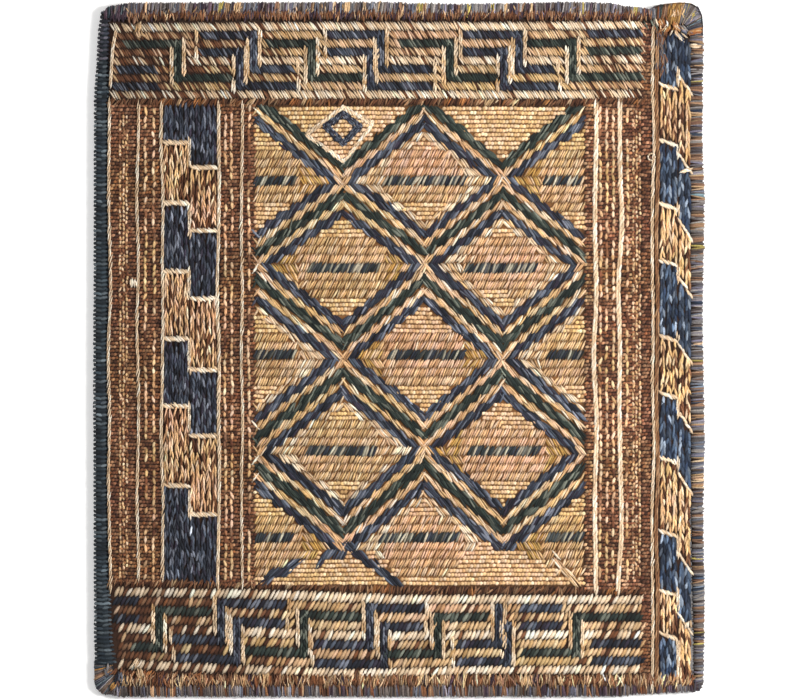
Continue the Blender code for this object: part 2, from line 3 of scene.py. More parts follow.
import bpy
import numpy as np
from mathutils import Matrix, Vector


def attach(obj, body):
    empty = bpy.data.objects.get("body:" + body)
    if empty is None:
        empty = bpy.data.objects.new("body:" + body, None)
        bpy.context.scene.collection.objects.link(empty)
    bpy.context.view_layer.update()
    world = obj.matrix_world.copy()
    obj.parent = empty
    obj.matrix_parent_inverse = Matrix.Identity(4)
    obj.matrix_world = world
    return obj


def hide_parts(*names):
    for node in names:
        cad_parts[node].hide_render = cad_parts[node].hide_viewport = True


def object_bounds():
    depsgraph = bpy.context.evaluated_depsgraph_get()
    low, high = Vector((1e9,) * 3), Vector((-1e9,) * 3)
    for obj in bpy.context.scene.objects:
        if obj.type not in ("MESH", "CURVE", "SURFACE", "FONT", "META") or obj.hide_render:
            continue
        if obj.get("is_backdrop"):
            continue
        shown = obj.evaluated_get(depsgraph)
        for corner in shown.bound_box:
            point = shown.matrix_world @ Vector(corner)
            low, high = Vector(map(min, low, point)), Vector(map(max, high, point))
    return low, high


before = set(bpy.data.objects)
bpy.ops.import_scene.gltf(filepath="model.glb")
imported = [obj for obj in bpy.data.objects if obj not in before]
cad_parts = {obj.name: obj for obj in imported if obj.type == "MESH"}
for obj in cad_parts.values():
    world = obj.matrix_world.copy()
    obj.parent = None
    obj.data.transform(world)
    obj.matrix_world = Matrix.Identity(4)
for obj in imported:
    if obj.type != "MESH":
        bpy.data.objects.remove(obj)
START_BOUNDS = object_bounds()

bl_info = {
    "name": "Kilim Saddle Bag",
    "version": (1, 0, 0),
    "blender": (4, 5, 0),
    "location": "View3D > Sidebar > Saddle Bag",
    "description": "Weaves one wool saddle bag pouch, stitch by stitch",
    "category": "Add Mesh",
}

# Places are given in divisions of a sheet that the camera sees whole: p across from its left
# side, q down from its top. 2.1 divisions make a millimetre.
PER_MM = 2.1
# A division in metres, and in millimetres for the height of a strand on an edge.
DIVISION = 1.0 / 2100.0
DIVISION_MM = 0.476
# Width of the sheet, the middle of the frame on it, and the left and top of the bag.
SHEET_WIDE = 799
MIDDLE_P, MIDDLE_Q = 398.97, 349.55
BAG_LEFT, BAG_TOP = 93.0, 2.0
# A millimetre in metres, and the mean height of the face.
MM = 0.001
FACE_LEVEL = 0.010


def linear(hex_code):
    """Linear colour from a six-digit hex code."""
    values = []
    for place in (0, 2, 4):
        part = int(hex_code[place:place + 2], 16) / 255.0
        values.append(part / 12.92 if part <= 0.04045 else ((part + 0.055) / 1.055) ** 2.4)
    return tuple(values)


# Shades of each yarn, as hex codes.
WOOLS = {
    "tan": "deb684 e4bc98 d8b282 c69a6c eaccaa",
    "sand": "d2ae82 dab692 c8a67c b58e62 e6caa6",
    "ivory": "f2dabc e2c6a4 fceeda d4b490",
    "gold": "c59a54 b88a4a d2ae6c",
    # Pale shades in indigo: lighter plies and painted highlights on the dark strands.
    "indigo": "1a1c25 22252f 363a47 747884 302a37 525a68",
    "green": "181e1c 222a28 36403a 74786c 2c342e",
    "brown": "5e3a26 74482c 4a2a1c 80563c 987052",
    "cocoa": "784e34 946644 563422 bc9672 6a402c",
    "rust": "a0683c 8e5630 b47c4a",
    "ash": "908a88 746c6a a39b94 5a5250 7d788a 686e7c",
    "soot": "5c5250 4a403e 7a6e68 6a584a 565664",
    "selvedge": "182026 202a32 3a464e 667076 1c222a",
    "orange": "a87840 b88c50 8e6438",
    "yellow": "bfae62 ad9a54",
    "teal": "64808a 7f98a0",
    # Pale shades in bar and blue: lighter plies and painted highlights on the dark strands.
    "bar": "262c2c 303638 383c44 aca692 404648 c2b6a0 2c303a",
    "blue": "1c2434 2c3a52 566880 8a96a6 242a38 3a4454",
    "plum": "3a2a34 2e2630 4a3640 5c4a54",
    "russet": "8e6a52 7a5848 a07c62 ac8a68",
    "copper": "865c3e 966c4a 765034 b08a66",
    # Painted shade: the near-black fill under the edges and the cloth between strands outside the field.
    "core": "2a180e",
    # The field's real ground cloth, coloured darker as painted shade between the strands.
    "ground": "6e4a2a",
}
PALETTE = {name: np.array([linear(code) for code in codes.split()]) for name, codes in WOOLS.items()}


class SaddleBagSizes(bpy.types.PropertyGroup):
    """Sizes of the bag."""

    cloth_thickness: bpy.props.FloatProperty(
        name="Cloth thickness", description="Thickness of each woven cloth",
        default=0.003, unit="LENGTH")
    slack: bpy.props.FloatProperty(
        name="Slack", description="Greatest hollow between the two cloths",
        default=0.009, unit="LENGTH")
    wrap_rise: bpy.props.FloatProperty(
        name="Wrap rise", description="Height of a wrapped stitch above the cloth",
        default=0.0012, unit="LENGTH")
    bead_rise: bpy.props.FloatProperty(
        name="Weave rise", description="Height of a plain weave knuckle above the cloth",
        default=0.0008, unit="LENGTH")


class SaddleBagColours(bpy.types.PropertyGroup):
    """Colours that aren't yarns."""

    floor: bpy.props.FloatVectorProperty(
        name="Floor", description="Colour of the studio floor", subtype="COLOR",
        size=3, default=(0.96, 0.96, 0.96))
    light: bpy.props.FloatVectorProperty(
        name="Light", description="Colour of the studio light", subtype="COLOR",
        size=3, default=(1.0, 0.985, 0.965))


def sizes():
    return bpy.context.scene.saddle_bag_sizes


def colours():
    return bpy.context.scene.saddle_bag_colours


# Shape of the bag, as in the solid model: sizes in millimetres, and shares of the height and the slack.
PANEL_LEFT, PANEL_RIGHT = 7.4, 283.9
PANEL_BOTTOM = 322.1
HALF_SPAN = (PANEL_RIGHT - PANEL_LEFT) / 2
FULLEST_AT = 0.55
MOUTH_SHARE = 0.8
SEAM_GAP = 0.3


def hollow(p, q):
    """Height in millimetres of the hollow between the cloths at divisions (p, q)."""
    across = (p - BAG_LEFT) / PER_MM
    down = (q - BAG_TOP) / PER_MM
    side = (across - (PANEL_LEFT + PANEL_RIGHT) / 2) / HALF_SPAN
    rise = np.maximum(0.0, 1.0 - side * side)
    share = (PANEL_BOTTOM - down) / PANEL_BOTTOM
    low = 1.0 - (1.0 - share / FULLEST_AT) ** 2
    high = 1.0 - (1.0 - MOUTH_SHARE) * ((share - FULLEST_AT) / (1.0 - FULLEST_AT)) ** 2
    along = np.maximum(0.0, np.where(share < FULLEST_AT, low, high))
    return SEAM_GAP + sizes().slack / MM * rise * along


def face_top(p, q):
    """Height in millimetres of the rib crests of the face."""
    return 2 * sizes().cloth_thickness / MM + hollow(p, q)


def ripple(p, q, seed):
    """Smooth hand-made unevenness, about -1 to 1."""
    a = np.sin(p / 41.0 + seed * 1.7 + 1.3 * np.sin(q / 67.0 + seed))
    b = np.sin(q / 33.0 + seed * 2.9 + 1.1 * np.sin(p / 59.0 + seed * 0.7))
    c = np.sin((p + q) / 23.0 + seed * 0.9)
    return 0.45 * a + 0.4 * b + 0.15 * c


def pick(rng, wool, count, spread=0.1):
    """One colour per strand, drawn from a yarn's shades."""
    shades = PALETTE[wool]
    index = rng.integers(0, len(shades), count)
    other = rng.integers(0, len(shades), count)
    mix = 0.35 * rng.random(count)[:, None]
    colour = shades[index] * (1 - mix) + shades[other] * mix
    bright = np.exp(rng.normal(0.0, spread, count))[:, None]
    return np.clip(colour * bright, 0.0, 1.0)


def blend(rng, count, shares, most, spread):
    """Colours of strands in runs of 1 to most, drawn from several yarns by their weights."""
    weight = np.array(list(shares.values()), float)
    order = []
    while len(order) < count:
        order += [int(rng.choice(len(shares), p=weight / weight.sum()))] * int(rng.integers(1, most + 1))
    order = np.array(order[:count])
    tone = np.empty((count, 3))
    for number, wool in enumerate(shares):
        mix_in(rng, tone, order == number, wool, spread)
    return tone


def mix_in(rng, tone, part, wool, spread):
    """Another yarn for some strands: those of a mask, or a share of them drawn by chance."""
    chosen = rng.random(len(tone)) < part if np.isscalar(part) else part
    tone[chosen] = pick(rng, wool, int(chosen.sum()), spread)


def shift(colour, p, q, seed):
    """Slow change of shade over the cloth, as between dye lots."""
    warm = ripple(p * 0.8, q * 2.2, seed)[:, None]
    pink = np.array([1.05, 0.98, 1.06])
    olive = np.array([0.98, 1.0, 0.88])
    factor = np.where(warm > 0, 1 + (pink - 1) * warm * 1.4, 1 - (1 - olive) * -warm * 1.4)
    return np.clip(colour * factor, 0, 1)


# Painted shade: how much darker the flanks of a strand are painted than its back.
PAINTED_FLANK_SHADE = 0.47
# Part of a cell of the map that each strand fills.
CELL_PART = (0.12, 0.88)


def painted_flank_shade(around):
    """Painted shade towards the flanks of a strand."""
    return PAINTED_FLANK_SHADE * np.abs(np.cos(around[0])) ** 3


def strand_steps(start, along, around):
    """Places along a strand, from start to 1, and angles over its round back."""
    return np.linspace(start, 1.0, along)[None, :, None], np.linspace(0.0, math.pi, around)[None, None, :]


def each(value, count):
    """One value for every strand, to be spread along and around it."""
    return np.broadcast_to(value, count)[:, None, None]


def metres(p, q, z):
    """Places in metres from places in divisions and heights in millimetres."""
    return np.stack(((p - MIDDLE_P) * DIVISION, (MIDDLE_Q - q) * DIVISION, z * MM), axis=-1)


def grid_quads(rows, columns):
    """Corners of the quads between the points of a grid."""
    one = np.arange(rows * columns).reshape(rows, columns)
    return np.stack((one[:-1, :-1], one[1:, :-1], one[1:, 1:], one[:-1, 1:]), axis=-1).reshape(-1, 4)


class YarnPile:
    """Strands gathered for one piece, made into one mesh with a cell of the map for each."""

    def __init__(self):
        self.blocks = []

    def add(self, p, q, z, colour, shade):
        """Strands by their places (strands x along x around), colours and painted shade along and around."""
        if len(p):
            colour = np.broadcast_to(colour, (len(p), 3))
            self.blocks.append((metres(p, q, z), colour, np.broadcast_to(shade, p.shape[1:])))

    def lay(self, p, q, angle, length, width, rise, colour, lift=0.0, along=5, around=3, bow=0.0, dark=0.45):
        """Half-round strands lying on the face. Angles in degrees from the right, turning up."""
        p, q, angle, length, width, rise, lift, bow = (
            each(value, len(p)) for value in (p, q, angle, length, width, rise, lift, bow))
        angle = np.radians(angle)
        s, a = strand_steps(-1.0, along, around)
        taper = np.abs(s) ** 2.5
        run = s * length / 2
        side = np.cos(a) * width / 2 * (1.0 - 0.65 * taper) + bow * (1 - s * s)
        p = p + (np.cos(angle) * run - np.sin(angle) * side)
        q = q - (np.sin(angle) * run + np.cos(angle) * side)
        z = face_top(p, q) + lift + rise * ((1.0 - 0.8 * taper) * np.sin(a) - 0.25 * np.abs(s) ** 2)
        # Painted shade: each strand darker towards its ends, by dark, and towards its flanks.
        self.add(p, q, z, colour, 1.0 - dark * np.abs(s[0]) ** 3 - painted_flank_shade(a))

    def hoop(self, middle, outward, half_wide, half_tall, height, turn, width, thick, colour, lean, along=9):
        """Strands wrapped over an edge. turn: angles from the inner side, over the top, to the end."""
        theta = np.radians(np.linspace(*turn, along))[None, :, None]
        t, a = strand_steps(-1.0, along, 3)
        values = (*middle.T, half_wide, half_tall, height, width, thick, lean)
        p, q, half_wide, half_tall, height, width, thick, lean = (
            each(value, len(middle)) for value in values)
        out = np.cos(theta) * (half_wide + thick * np.sin(a))
        up = np.sin(theta) * (half_tall + thick * DIVISION_MM * np.sin(a))
        side = np.cos(a) * width / 2 * (1.0 - 0.3 * np.abs(t) ** 3) + lean * t
        ox, oy = outward
        p, q = p + ox * out + abs(oy) * side, q - oy * out + abs(ox) * side
        # Painted shade darkens the flanks of each wrap.
        self.add(p, q, height + up, colour, 1.0 - painted_flank_shade(a))

    def span(self, start, end, high, low, width, colour):
        """Strands from start to end, level at height high, then curving down to height low."""
        t, a = strand_steps(0.0, 7, 3)
        p, q, run_p, run_q, high, low, width = (
            each(value, len(start)) for value in (*start.T, *(end - start).T, high, low, width))
        far = np.maximum(0.01, np.hypot(run_p, run_q))
        side = np.cos(a) * width / 2 * (1.0 - 0.3 * np.abs(2 * t - 1) ** 3)
        z = low + (high - low) * np.sqrt(np.maximum(0.0, 1.0 - t ** 4)) + 0.7 * np.sin(a)
        # Painted shade: darker at the flanks and towards the start of each strand.
        self.add(
            p + run_p * t - run_q / far * side, q + run_q * t + run_p / far * side, z, colour,
            1.0 - painted_flank_shade(a) - 0.3 * (1.0 - t[0]) ** 6)

    def core(self, middle, outward, half_wide, half_tall, height, wool="core"):
        """A closed core under the strands of an edge, one ring per step, near-black painted shade unless a
        yarn is given.
        """
        theta = np.linspace(0.0, 2 * math.pi, 13)
        half_wide, half_tall, height = (
            np.broadcast_to(value, len(middle))[:, None] for value in (half_wide, half_tall, height))
        out = np.cos(theta)[None, :] * half_wide
        p, q = middle[:, :1] + outward[0] * out, middle[:, 1:] - outward[1] * out
        z = height + np.sin(theta)[None, :] * half_tall
        self.add(p[None], q[None], z[None], PALETTE[wool][:1], 1.0)

    def mesh(self, name):
        """The gathered strands as one object with colours, painted shade multiplied in, and a map."""
        verts, tints, maps, quads = [], [], [], []
        cells = math.ceil(math.sqrt(sum(len(places) for places, _, _ in self.blocks)))
        start = number = 0
        for places, colour, shade in self.blocks:
            count, along, around = places.shape[:3]
            verts.append(places.reshape(-1, 3))
            # Colour of each point: the strand's colour times its painted shade.
            tints.append((colour[:, None, None, :] * shade[None, :, :, None]).reshape(-1, 3))
            index = np.arange(count) + number
            u = each(index % cells, count) + np.linspace(*CELL_PART, along)[None, :, None]
            v = each(index // cells, count) + np.linspace(*CELL_PART, around)[None, None, :]
            maps.append(np.stack(np.broadcast_arrays(u, v), axis=-1).reshape(-1, 2) / cells)
            quad = grid_quads(along, around)[None] + each(np.arange(count) * along * around, count) + start
            quads.append(quad.reshape(-1, 4))
            start += count * along * around
            number += count
        return make_mesh(name, *(np.concatenate(parts) for parts in (verts, quads, tints, maps)))


def new_object(name, data):
    """An object in the scene."""
    thing = bpy.data.objects.new(name, data)
    bpy.context.scene.collection.objects.link(thing)
    return thing


def make_mesh(name, verts, quads, tints, maps):
    """An object of woven wool, with a colour holding painted shade and a place in the map for each point."""
    mesh = bpy.data.meshes.new(name)
    mesh.vertices.add(len(verts))
    mesh.vertices.foreach_set("co", verts.astype(np.float32).ravel())
    mesh.loops.add(len(quads) * 4)
    mesh.loops.foreach_set("vertex_index", quads.astype(np.int32).ravel())
    mesh.polygons.add(len(quads))
    mesh.polygons.foreach_set("loop_start", np.arange(0, len(quads) * 4, 4, dtype=np.int32))
    mesh.update(calc_edges=True)
    mesh.validate()
    paint = mesh.color_attributes.new("yarn_colour_and_shade", "FLOAT_COLOR", "POINT")
    rgba = np.ones((len(verts), 4), np.float32)
    rgba[:, :3] = tints
    paint.data.foreach_set("color", rgba.ravel())
    layer = mesh.uv_layers.new(name="OFBake")
    corners = np.empty(len(mesh.loops), np.int32)
    mesh.loops.foreach_get("vertex_index", corners)
    layer.data.foreach_set("uv", maps[corners].astype(np.float32).ravel())
    mesh.polygons.foreach_set("use_smooth", np.ones(len(mesh.polygons), bool))
    mesh.materials.append(wool_material())
    return new_object(name, mesh)


def finish_piece(piece, nodes):
    """Tie a piece to the body and hide the solids that it replaces."""
    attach(piece, "root")
    if nodes:
        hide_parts(*nodes)


def numbered(stem, count):
    """Names of solids that are counted from 1."""
    return [f"{stem}_{number}" for number in range(1, count + 1)]


def wool_material():
    """Matt wool that takes its colour and painted shade from the yarn, with fibres and a soft halo."""
    if "yarn" in bpy.data.materials:
        return bpy.data.materials["yarn"]
    material = bpy.data.materials.new("yarn")
    material.use_nodes = True
    nodes, links = material.node_tree.nodes, material.node_tree.links

    def node(kind, values):
        made = nodes.new("ShaderNode" + kind)
        for socket, value in values.items():
            made.inputs[socket].default_value = value
        return made

    shader = nodes["Principled BSDF"]
    for socket, value in (
        ("Roughness", 0.85), ("Specular IOR Level", 0.25), ("Sheen Weight", 0.12), ("Sheen Roughness", 0.5),
    ):
        shader.inputs[socket].default_value = value
    yarn = node("Attribute", {})
    yarn.attribute_name = "yarn_colour_and_shade"
    place = node("TexCoord", {})
    both = node("Math", {})
    both.operation = "MULTIPLY"
    bump = node("Bump", {"Strength": 0.35, "Distance": 0.0003})
    for number, (scale, detail, least, most) in enumerate(((1800.0, 2.0, 0.72, 1.28), (60.0, 3.0, 0.9, 1.1))):
        noise = node("TexNoise", {"Scale": scale, "Detail": detail})
        links.new(place.outputs["Object"], noise.inputs["Vector"])
        levels = node("MapRange", {"From Min": 0.3, "From Max": 0.7, "To Min": least, "To Max": most})
        links.new(noise.outputs["Fac"], levels.inputs["Value"])
        links.new(levels.outputs["Result"], both.inputs[number])
        if number == 0:
            links.new(noise.outputs["Fac"], bump.inputs["Height"])
    tint = node("VectorMath", {})
    tint.operation = "SCALE"
    links.new(yarn.outputs["Color"], tint.inputs[0])
    links.new(both.outputs["Value"], tint.inputs["Scale"])
    links.new(tint.outputs["Vector"], shader.inputs["Base Color"])
    links.new(bump.outputs["Normal"], shader.inputs["Normal"])
    return material


# Field of lozenges, in divisions.
COLUMN_AT = (176.0, 257.0, 343.0, 424.0, 503.0, 583.0, 663.0)
ROW_AT = (88.0, 180.5, 267.0, 358.0, 451.5, 546.0, 640.0)
FIELD_P = (254.5, 583.5)
FIELD_Q = (107.0, 587.0)
ROW_PITCH = 8.7
PLY_PITCH = 2.45
BEAD_PITCH = 3.2
KNUCKLE_PITCH = 4.35
RIB_PITCH = 3.6
STRIPE_SLOPE = 0.685
LIGHT_AT = 0.735
LIGHT_SHARE = 0.08
BLUE_SHARE = 0.126
MIDDLE_HEART = (1.0 + STRIPE_SLOPE) / 2
LOZENGE_HALF = 92.0
BAND_PULL = 0.24
PALE_LOZENGES = ((2, 0), (3, 1), (1, 3), (2, 4), (0, 2), (4, 2))
FIELD_BARS = (
    (8, ((255, 297), (383, 464), (543, 580))),
    (18, ((309, 380), (465, 537))),
    (28, ((253, 295), (388, 466), (549, 583))),
    (39, ((306, 375), (468, 539))),
    (49, ((253, 293), (380, 458), (547, 583))),
)
FIELD_SLANT = 62.0
# Kinds of stitch in the field and the yarn of each.
TAN, KNUCKLE, INDIGO, LIGHT, GREEN, IVORY, GOLD = range(7)
FIELD_WOOLS = ("tan", "tan", "indigo", "tan", "green", "ivory", "gold")
# Wrapped lines at the foot of the field: start, end and slant.
FOOT_LINES = (
    ((344, 551), (318, 561), 56), ((298, 563), (262, 580), 40), ((346, 545), (399, 585), -48),
    ((482, 533), (505, 551), -50), ((526, 533), (503, 551), 57),
)


def near_line(p, q, start, end, reach):
    """True near the straight line from start to end."""
    (p0, q0), (p1, q1) = start, end
    length = math.hypot(p1 - p0, q1 - q0)
    along = ((p - p0) * (p1 - p0) + (q - q0) * (q1 - q0)) / length
    off = np.abs((p - p0) * (q1 - q0) - (q - q0) * (p1 - p0)) / length
    return (off < reach) & (along > 0) & (along < length)


def field_zone(p, q):
    """Kind of stitch, its slant, and how far it is pulled towards the middle of its stripe."""
    wp = p + 1.2 * ripple(p, q, 1.0)
    wq = q + 1.4 * ripple(p, q, 2.0)
    u = np.interp(wp, COLUMN_AT, np.arange(-1, 6))
    v = np.interp(wq, ROW_AT, np.arange(-1, 6))
    i0, j0 = np.floor(u), np.floor(v)
    even = (i0 + j0) % 2 == 0
    first = (i0 + np.where(even, 0, 1), j0)
    second = (i0 + np.where(even, 1, 0), j0 + 1)
    d1 = STRIPE_SLOPE * np.abs(u - first[0]) + np.abs(v - first[1])
    d2 = STRIPE_SLOPE * np.abs(u - second[0]) + np.abs(v - second[1])
    near = d1 <= d2
    ci, cj = np.where(near, first[0], second[0]), np.where(near, first[1], second[1])
    d = np.where(near, d1, d2)
    du, dv = u - ci, v - cj
    falling = du * dv < 0
    pale = np.zeros(p.shape, bool)
    for column, row in PALE_LOZENGES:
        pale |= (ci == column) & (cj == row)
    kind = np.full(p.shape, TAN)
    slant = np.full(p.shape, FIELD_SLANT)
    kind = np.where(np.abs(dv) > 0.3, KNUCKLE, kind)
    corner = (np.abs(du) > 0.52) & (np.abs(dv) < 0.24)
    kind = np.where(corner, np.where(pale, IVORY, GOLD), kind)
    slant = np.where(corner, np.where(falling, -58.0, 58.0), slant)
    band_start, band_end = LIGHT_AT - LIGHT_SHARE / 2, LIGHT_AT + LIGHT_SHARE / 2
    inner = band_start - BLUE_SHARE
    rim = (d > inner - 0.085) & pale & ((np.abs(dv) > 0.3) | (np.abs(du) > 0.35))
    kind = np.where(rim, IVORY, kind)
    band_slant = np.where(falling, -50.0, 57.0)
    ring = (d >= inner) & (d < band_start)
    light = (d >= band_start) & (d < band_end)
    middle = d >= band_end
    kind = np.where(ring, INDIGO, np.where(light, LIGHT, np.where(middle, GREEN, kind)))
    slant = np.where(ring | light | middle | rim, band_slant, slant)
    kind = np.where((np.abs(du) > 0.91) & (np.abs(dv) < 0.09) & (q > 130), LIGHT, kind)
    crown = cj < 0
    kind = np.where(crown & (ring | light | ~middle), KNUCKLE, kind)
    foot = (cj > 3.5) & (dv > 0.0)
    plain = foot & (ring | light | middle | rim | (corner & (dv > 0.1)))
    kind = np.where(plain, KNUCKLE, kind)
    kind = np.where(foot & (d > 0.5) & (dv > 0.12), KNUCKLE, kind)
    kind = np.where((cj > 4.5) | (v > 4.02) & middle, KNUCKLE, kind)
    for start, end, sign in FOOT_LINES:
        line = near_line(p, q, start, end, 4.6)
        kind = np.where(line, INDIGO, kind)
        slant = np.where(line, sign, slant)
    gold = near_line(p, q, (553, 556), (583, 592), 3.4)
    kind = np.where(gold, LIGHT, kind)
    slant = np.where(gold, -50, slant)
    heart = np.where(ring, LIGHT_AT - (LIGHT_SHARE + BLUE_SHARE) / 2, np.where(light, LIGHT_AT, MIDDLE_HEART))
    pull = BAND_PULL * (heart - np.minimum(d, MIDDLE_HEART)) * LOZENGE_HALF * np.sign(dv)
    banded = (kind == INDIGO) & ring | (kind == LIGHT) & light | (kind == GREEN) & middle
    return kind, slant, np.where(banded, pull, 0.0)


SMALL_RING = ((343, 112), (362, 127), (343, 146), (323, 127))
SMALL_HALO = ((343, 107), (373, 123), (344, 161), (306, 134))


def wrap_lines(pile, rng, corners, wool, reach, lanes):
    """Short wraps along the sides of a closed figure, slanting with each side."""
    for (p0, q0), (p1, q1) in zip(corners, corners[1:] + corners[:1]):
        count = int(math.hypot(p1 - p0, q1 - q0) / 2.3)
        share = (np.arange(count) + 0.5) / count
        slant = 57.0 if (p1 - p0) * (q1 - q0) < 0 else -52.0
        for lane in lanes:
            p = rng.normal(p0 + (p1 - p0) * share, 0.3)
            q = rng.normal(q0 + (q1 - q0) * share + lane, 0.4)
            slants = rng.normal(slant, 7, count)
            pile.lay(p, q, slants, reach, 2.3, 1.1, pick(rng, wool, count, 0.16), lift=0.45)


def stagger(columns, rows, pitch):
    """Places in rows, every second row moved by half a pitch, and the number of each one's row."""
    number = np.arange(len(rows))[:, None]
    p = columns + number % 2 * pitch / 2
    return p.ravel(), (rows[:, None] + 0 * p).ravel(), (number + 0 * p).ravel()


def field_places(pitch, row_pitch):
    """Staggered places over the whole field."""
    rows = np.arange(int((FIELD_Q[1] - FIELD_Q[0]) / row_pitch))
    columns = np.arange(FIELD_P[0] + 1.0, FIELD_P[1], pitch)
    return stagger(columns, FIELD_Q[0] + (rows + 0.5) * row_pitch, pitch)


def lay_knuckles(pile, rng, p, q, wool, seed, pitch=KNUCKLE_PITCH):
    """Plain weave: short level knuckles of weft over the warps."""
    count = len(p)
    tone = shift(pick(rng, wool, count, 0.16 if wool == "tan" else 0.26), p, q, seed)
    wave = 0.5 * ripple(p * 2.0, q, 7.0)
    rise = sizes().bead_rise / MM
    # Painted shade at the ends of each knuckle, set by dark.
    pile.lay(
        rng.normal(p, 0.25), rng.normal(q + wave, 0.2), rng.normal(14, 8.0, count), BEAD_PITCH * 1.5,
        pitch * 0.9, rise * rng.normal(1.0, 0.12, count), tone, along=4, around=4, dark=0.35)


class SADDLEBAG_OT_field(bpy.types.Operator):
    """Wrap the lozenge field, row by row"""

    bl_idname = "saddlebag.field"
    bl_label = "Lozenge Field"

    def execute(self, context):
        rng = np.random.default_rng(11)
        rise = sizes().wrap_rise / MM
        p, q, row = field_places(PLY_PITCH, ROW_PITCH)
        kind, slant, pull = field_zone(p, q)
        dark_bar = np.zeros(len(p), bool)
        for bar_row, spans in FIELD_BARS:
            for left, right in spans:
                dark_bar |= (row == bar_row) & (p > left) & (p < right)
        kind = np.where(dark_bar, GREEN, kind)
        slant = np.where(dark_bar, FIELD_SLANT, slant)
        pull = np.where(dark_bar, 0.0, pull)
        wraps = YarnPile()
        for code in (TAN, INDIGO, LIGHT, GREEN, IVORY, GOLD):
            chosen = kind == code
            count = int(chosen.sum())
            banded = code in (INDIGO, GREEN, LIGHT)
            dark = code in (INDIGO, GREEN)
            at_p, at_q = p[chosen], q[chosen]
            tone = pick(rng, FIELD_WOOLS[code], count, 0.24 if dark else 0.16)
            if code == GREEN:
                mix_in(rng, tone, dark_bar[chosen], "bar", 0.26)
            if code in (IVORY, GOLD):
                mix_in(rng, tone, 0.4, "tan", 0.12)
            if code == LIGHT:
                mix_in(rng, tone, 0.25, "ivory", 0.1)
            if code in (TAN, LIGHT):
                tone = shift(tone, at_p, at_q, 3.0)
            wave = 0.7 * ripple(at_p * 2.0, at_q, 5.0 + code)
            steep = np.abs(np.sin(np.radians(slant[chosen])))
            length = ROW_PITCH / steep * (1.34 if banded else 1.09) * rng.normal(1.0, 0.06, count)
            wraps.lay(
                rng.normal(at_p, 0.25), rng.normal(at_q + pull[chosen] + wave, 0.3),
                rng.normal(slant[chosen], 5.0), length,
                PLY_PITCH * (1.12 if dark else 0.94) * rng.normal(1.0, 0.1, count),
                rise * rng.normal(1.0, 0.12, count),
                tone, lift=0.15 if banded else 0.0, bow=rng.normal(0, 0.25, count))
        for share in (1.0, 0.86, 0.72):
            inside = tuple((343 + (p - 343) * share, 128 + (q - 128) * share) for p, q in SMALL_RING)
            wrap_lines(wraps, rng, inside, "indigo", 5.0, (-0.8, 0.8))
        wrap_lines(wraps, rng, SMALL_HALO, "ivory", 6.5, (0.0, 2.4))
        names = ["lattice", "small_diamond"] + numbered("field_bar", 13)
        finish_piece(wraps.mesh("field_wraps"), names)
        knuckles = YarnPile()
        p, q, _ = field_places(BEAD_PITCH, KNUCKLE_PITCH)
        wrap_row = FIELD_Q[0] + (np.floor((q - FIELD_Q[0]) / ROW_PITCH) + 0.5) * ROW_PITCH
        chosen = field_zone(p, wrap_row)[0] == KNUCKLE
        lay_knuckles(knuckles, rng, p[chosen], q[chosen], "tan", 3.0)
        finish_piece(knuckles.mesh("field_weave"), [])
        return {"FINISHED"}


# Meander borders, in divisions. Each Z: left end, upright, right end.
TOP_MIDDLE = ((123, 174, 234), (266, 308, 364), (399, 446, 498), (528, 569, 643))
TOP_OUTER = ((199, 250, 295), (328, 377, 432), (463, 515, 555))
TOP_INNER = ((199, 236, 296), (328, 367, 432), (463, 500, 557))
LOW_MIDDLE = ((129, 155, 211), (244, 300, 360), (385, 434, 490), (523, 573, 645))
LOW_OUTER = ((173, 217, 286), (314, 366, 424), (455, 495, 502))
LOW_INNER = ((176, 233, 284), (315, 380, 423), (456, 504, 511))
UPRIGHT = 7.2
BORDER_P = (109.0, 645.0)
BORDER_ROWS = 7
# Rows that kept more of their light wraps than the rest.
WORN_ROWS = {-1: 0.25, 3: 0.7, 7: 0.6}
# Upper and lower lines of both borders: places across and how far down the line lies there.
TOP_START = ((110, 400, 520, 650), (31.5, 31.0, 31.0, 28.5))
TOP_END = ((110, 400, 560, 650), (90.5, 91.0, 91.0, 89.0))
LOW_START = ((110, 250, 394, 541, 650), (596.5, 599.0, 604.0, 604.0, 604.5))
LOW_END = ((110, 207, 348, 483, 618), (659.5, 664.0, 669.5, 666.5, 666.0))
# Short dark bars at the ends of the borders: row, left, right and yarn.
TOP_BARS = [(4, 116, 157, "indigo"), (6, 109, 159, "indigo"), (0, 588, 643, "indigo"), (2, 588, 643, "green")]
LOW_BARS = [
    (0, 113, 136, "indigo"), (2, 114, 136, "indigo"), (4, 592, 643, "indigo"), (6, 593, 644, "indigo"),
    (0, 518, 564, "indigo"), (2, 519, 562, "indigo"),
]


def row_place(p, part, top, low):
    """Height down the sheet of a border's rows at p. part counts rows from the first."""
    start = np.interp(p, *top)
    return start + part * (np.interp(p, *low) - start) / BORDER_ROWS


def in_span(value, low, high):
    return (value >= low) & (value < high)


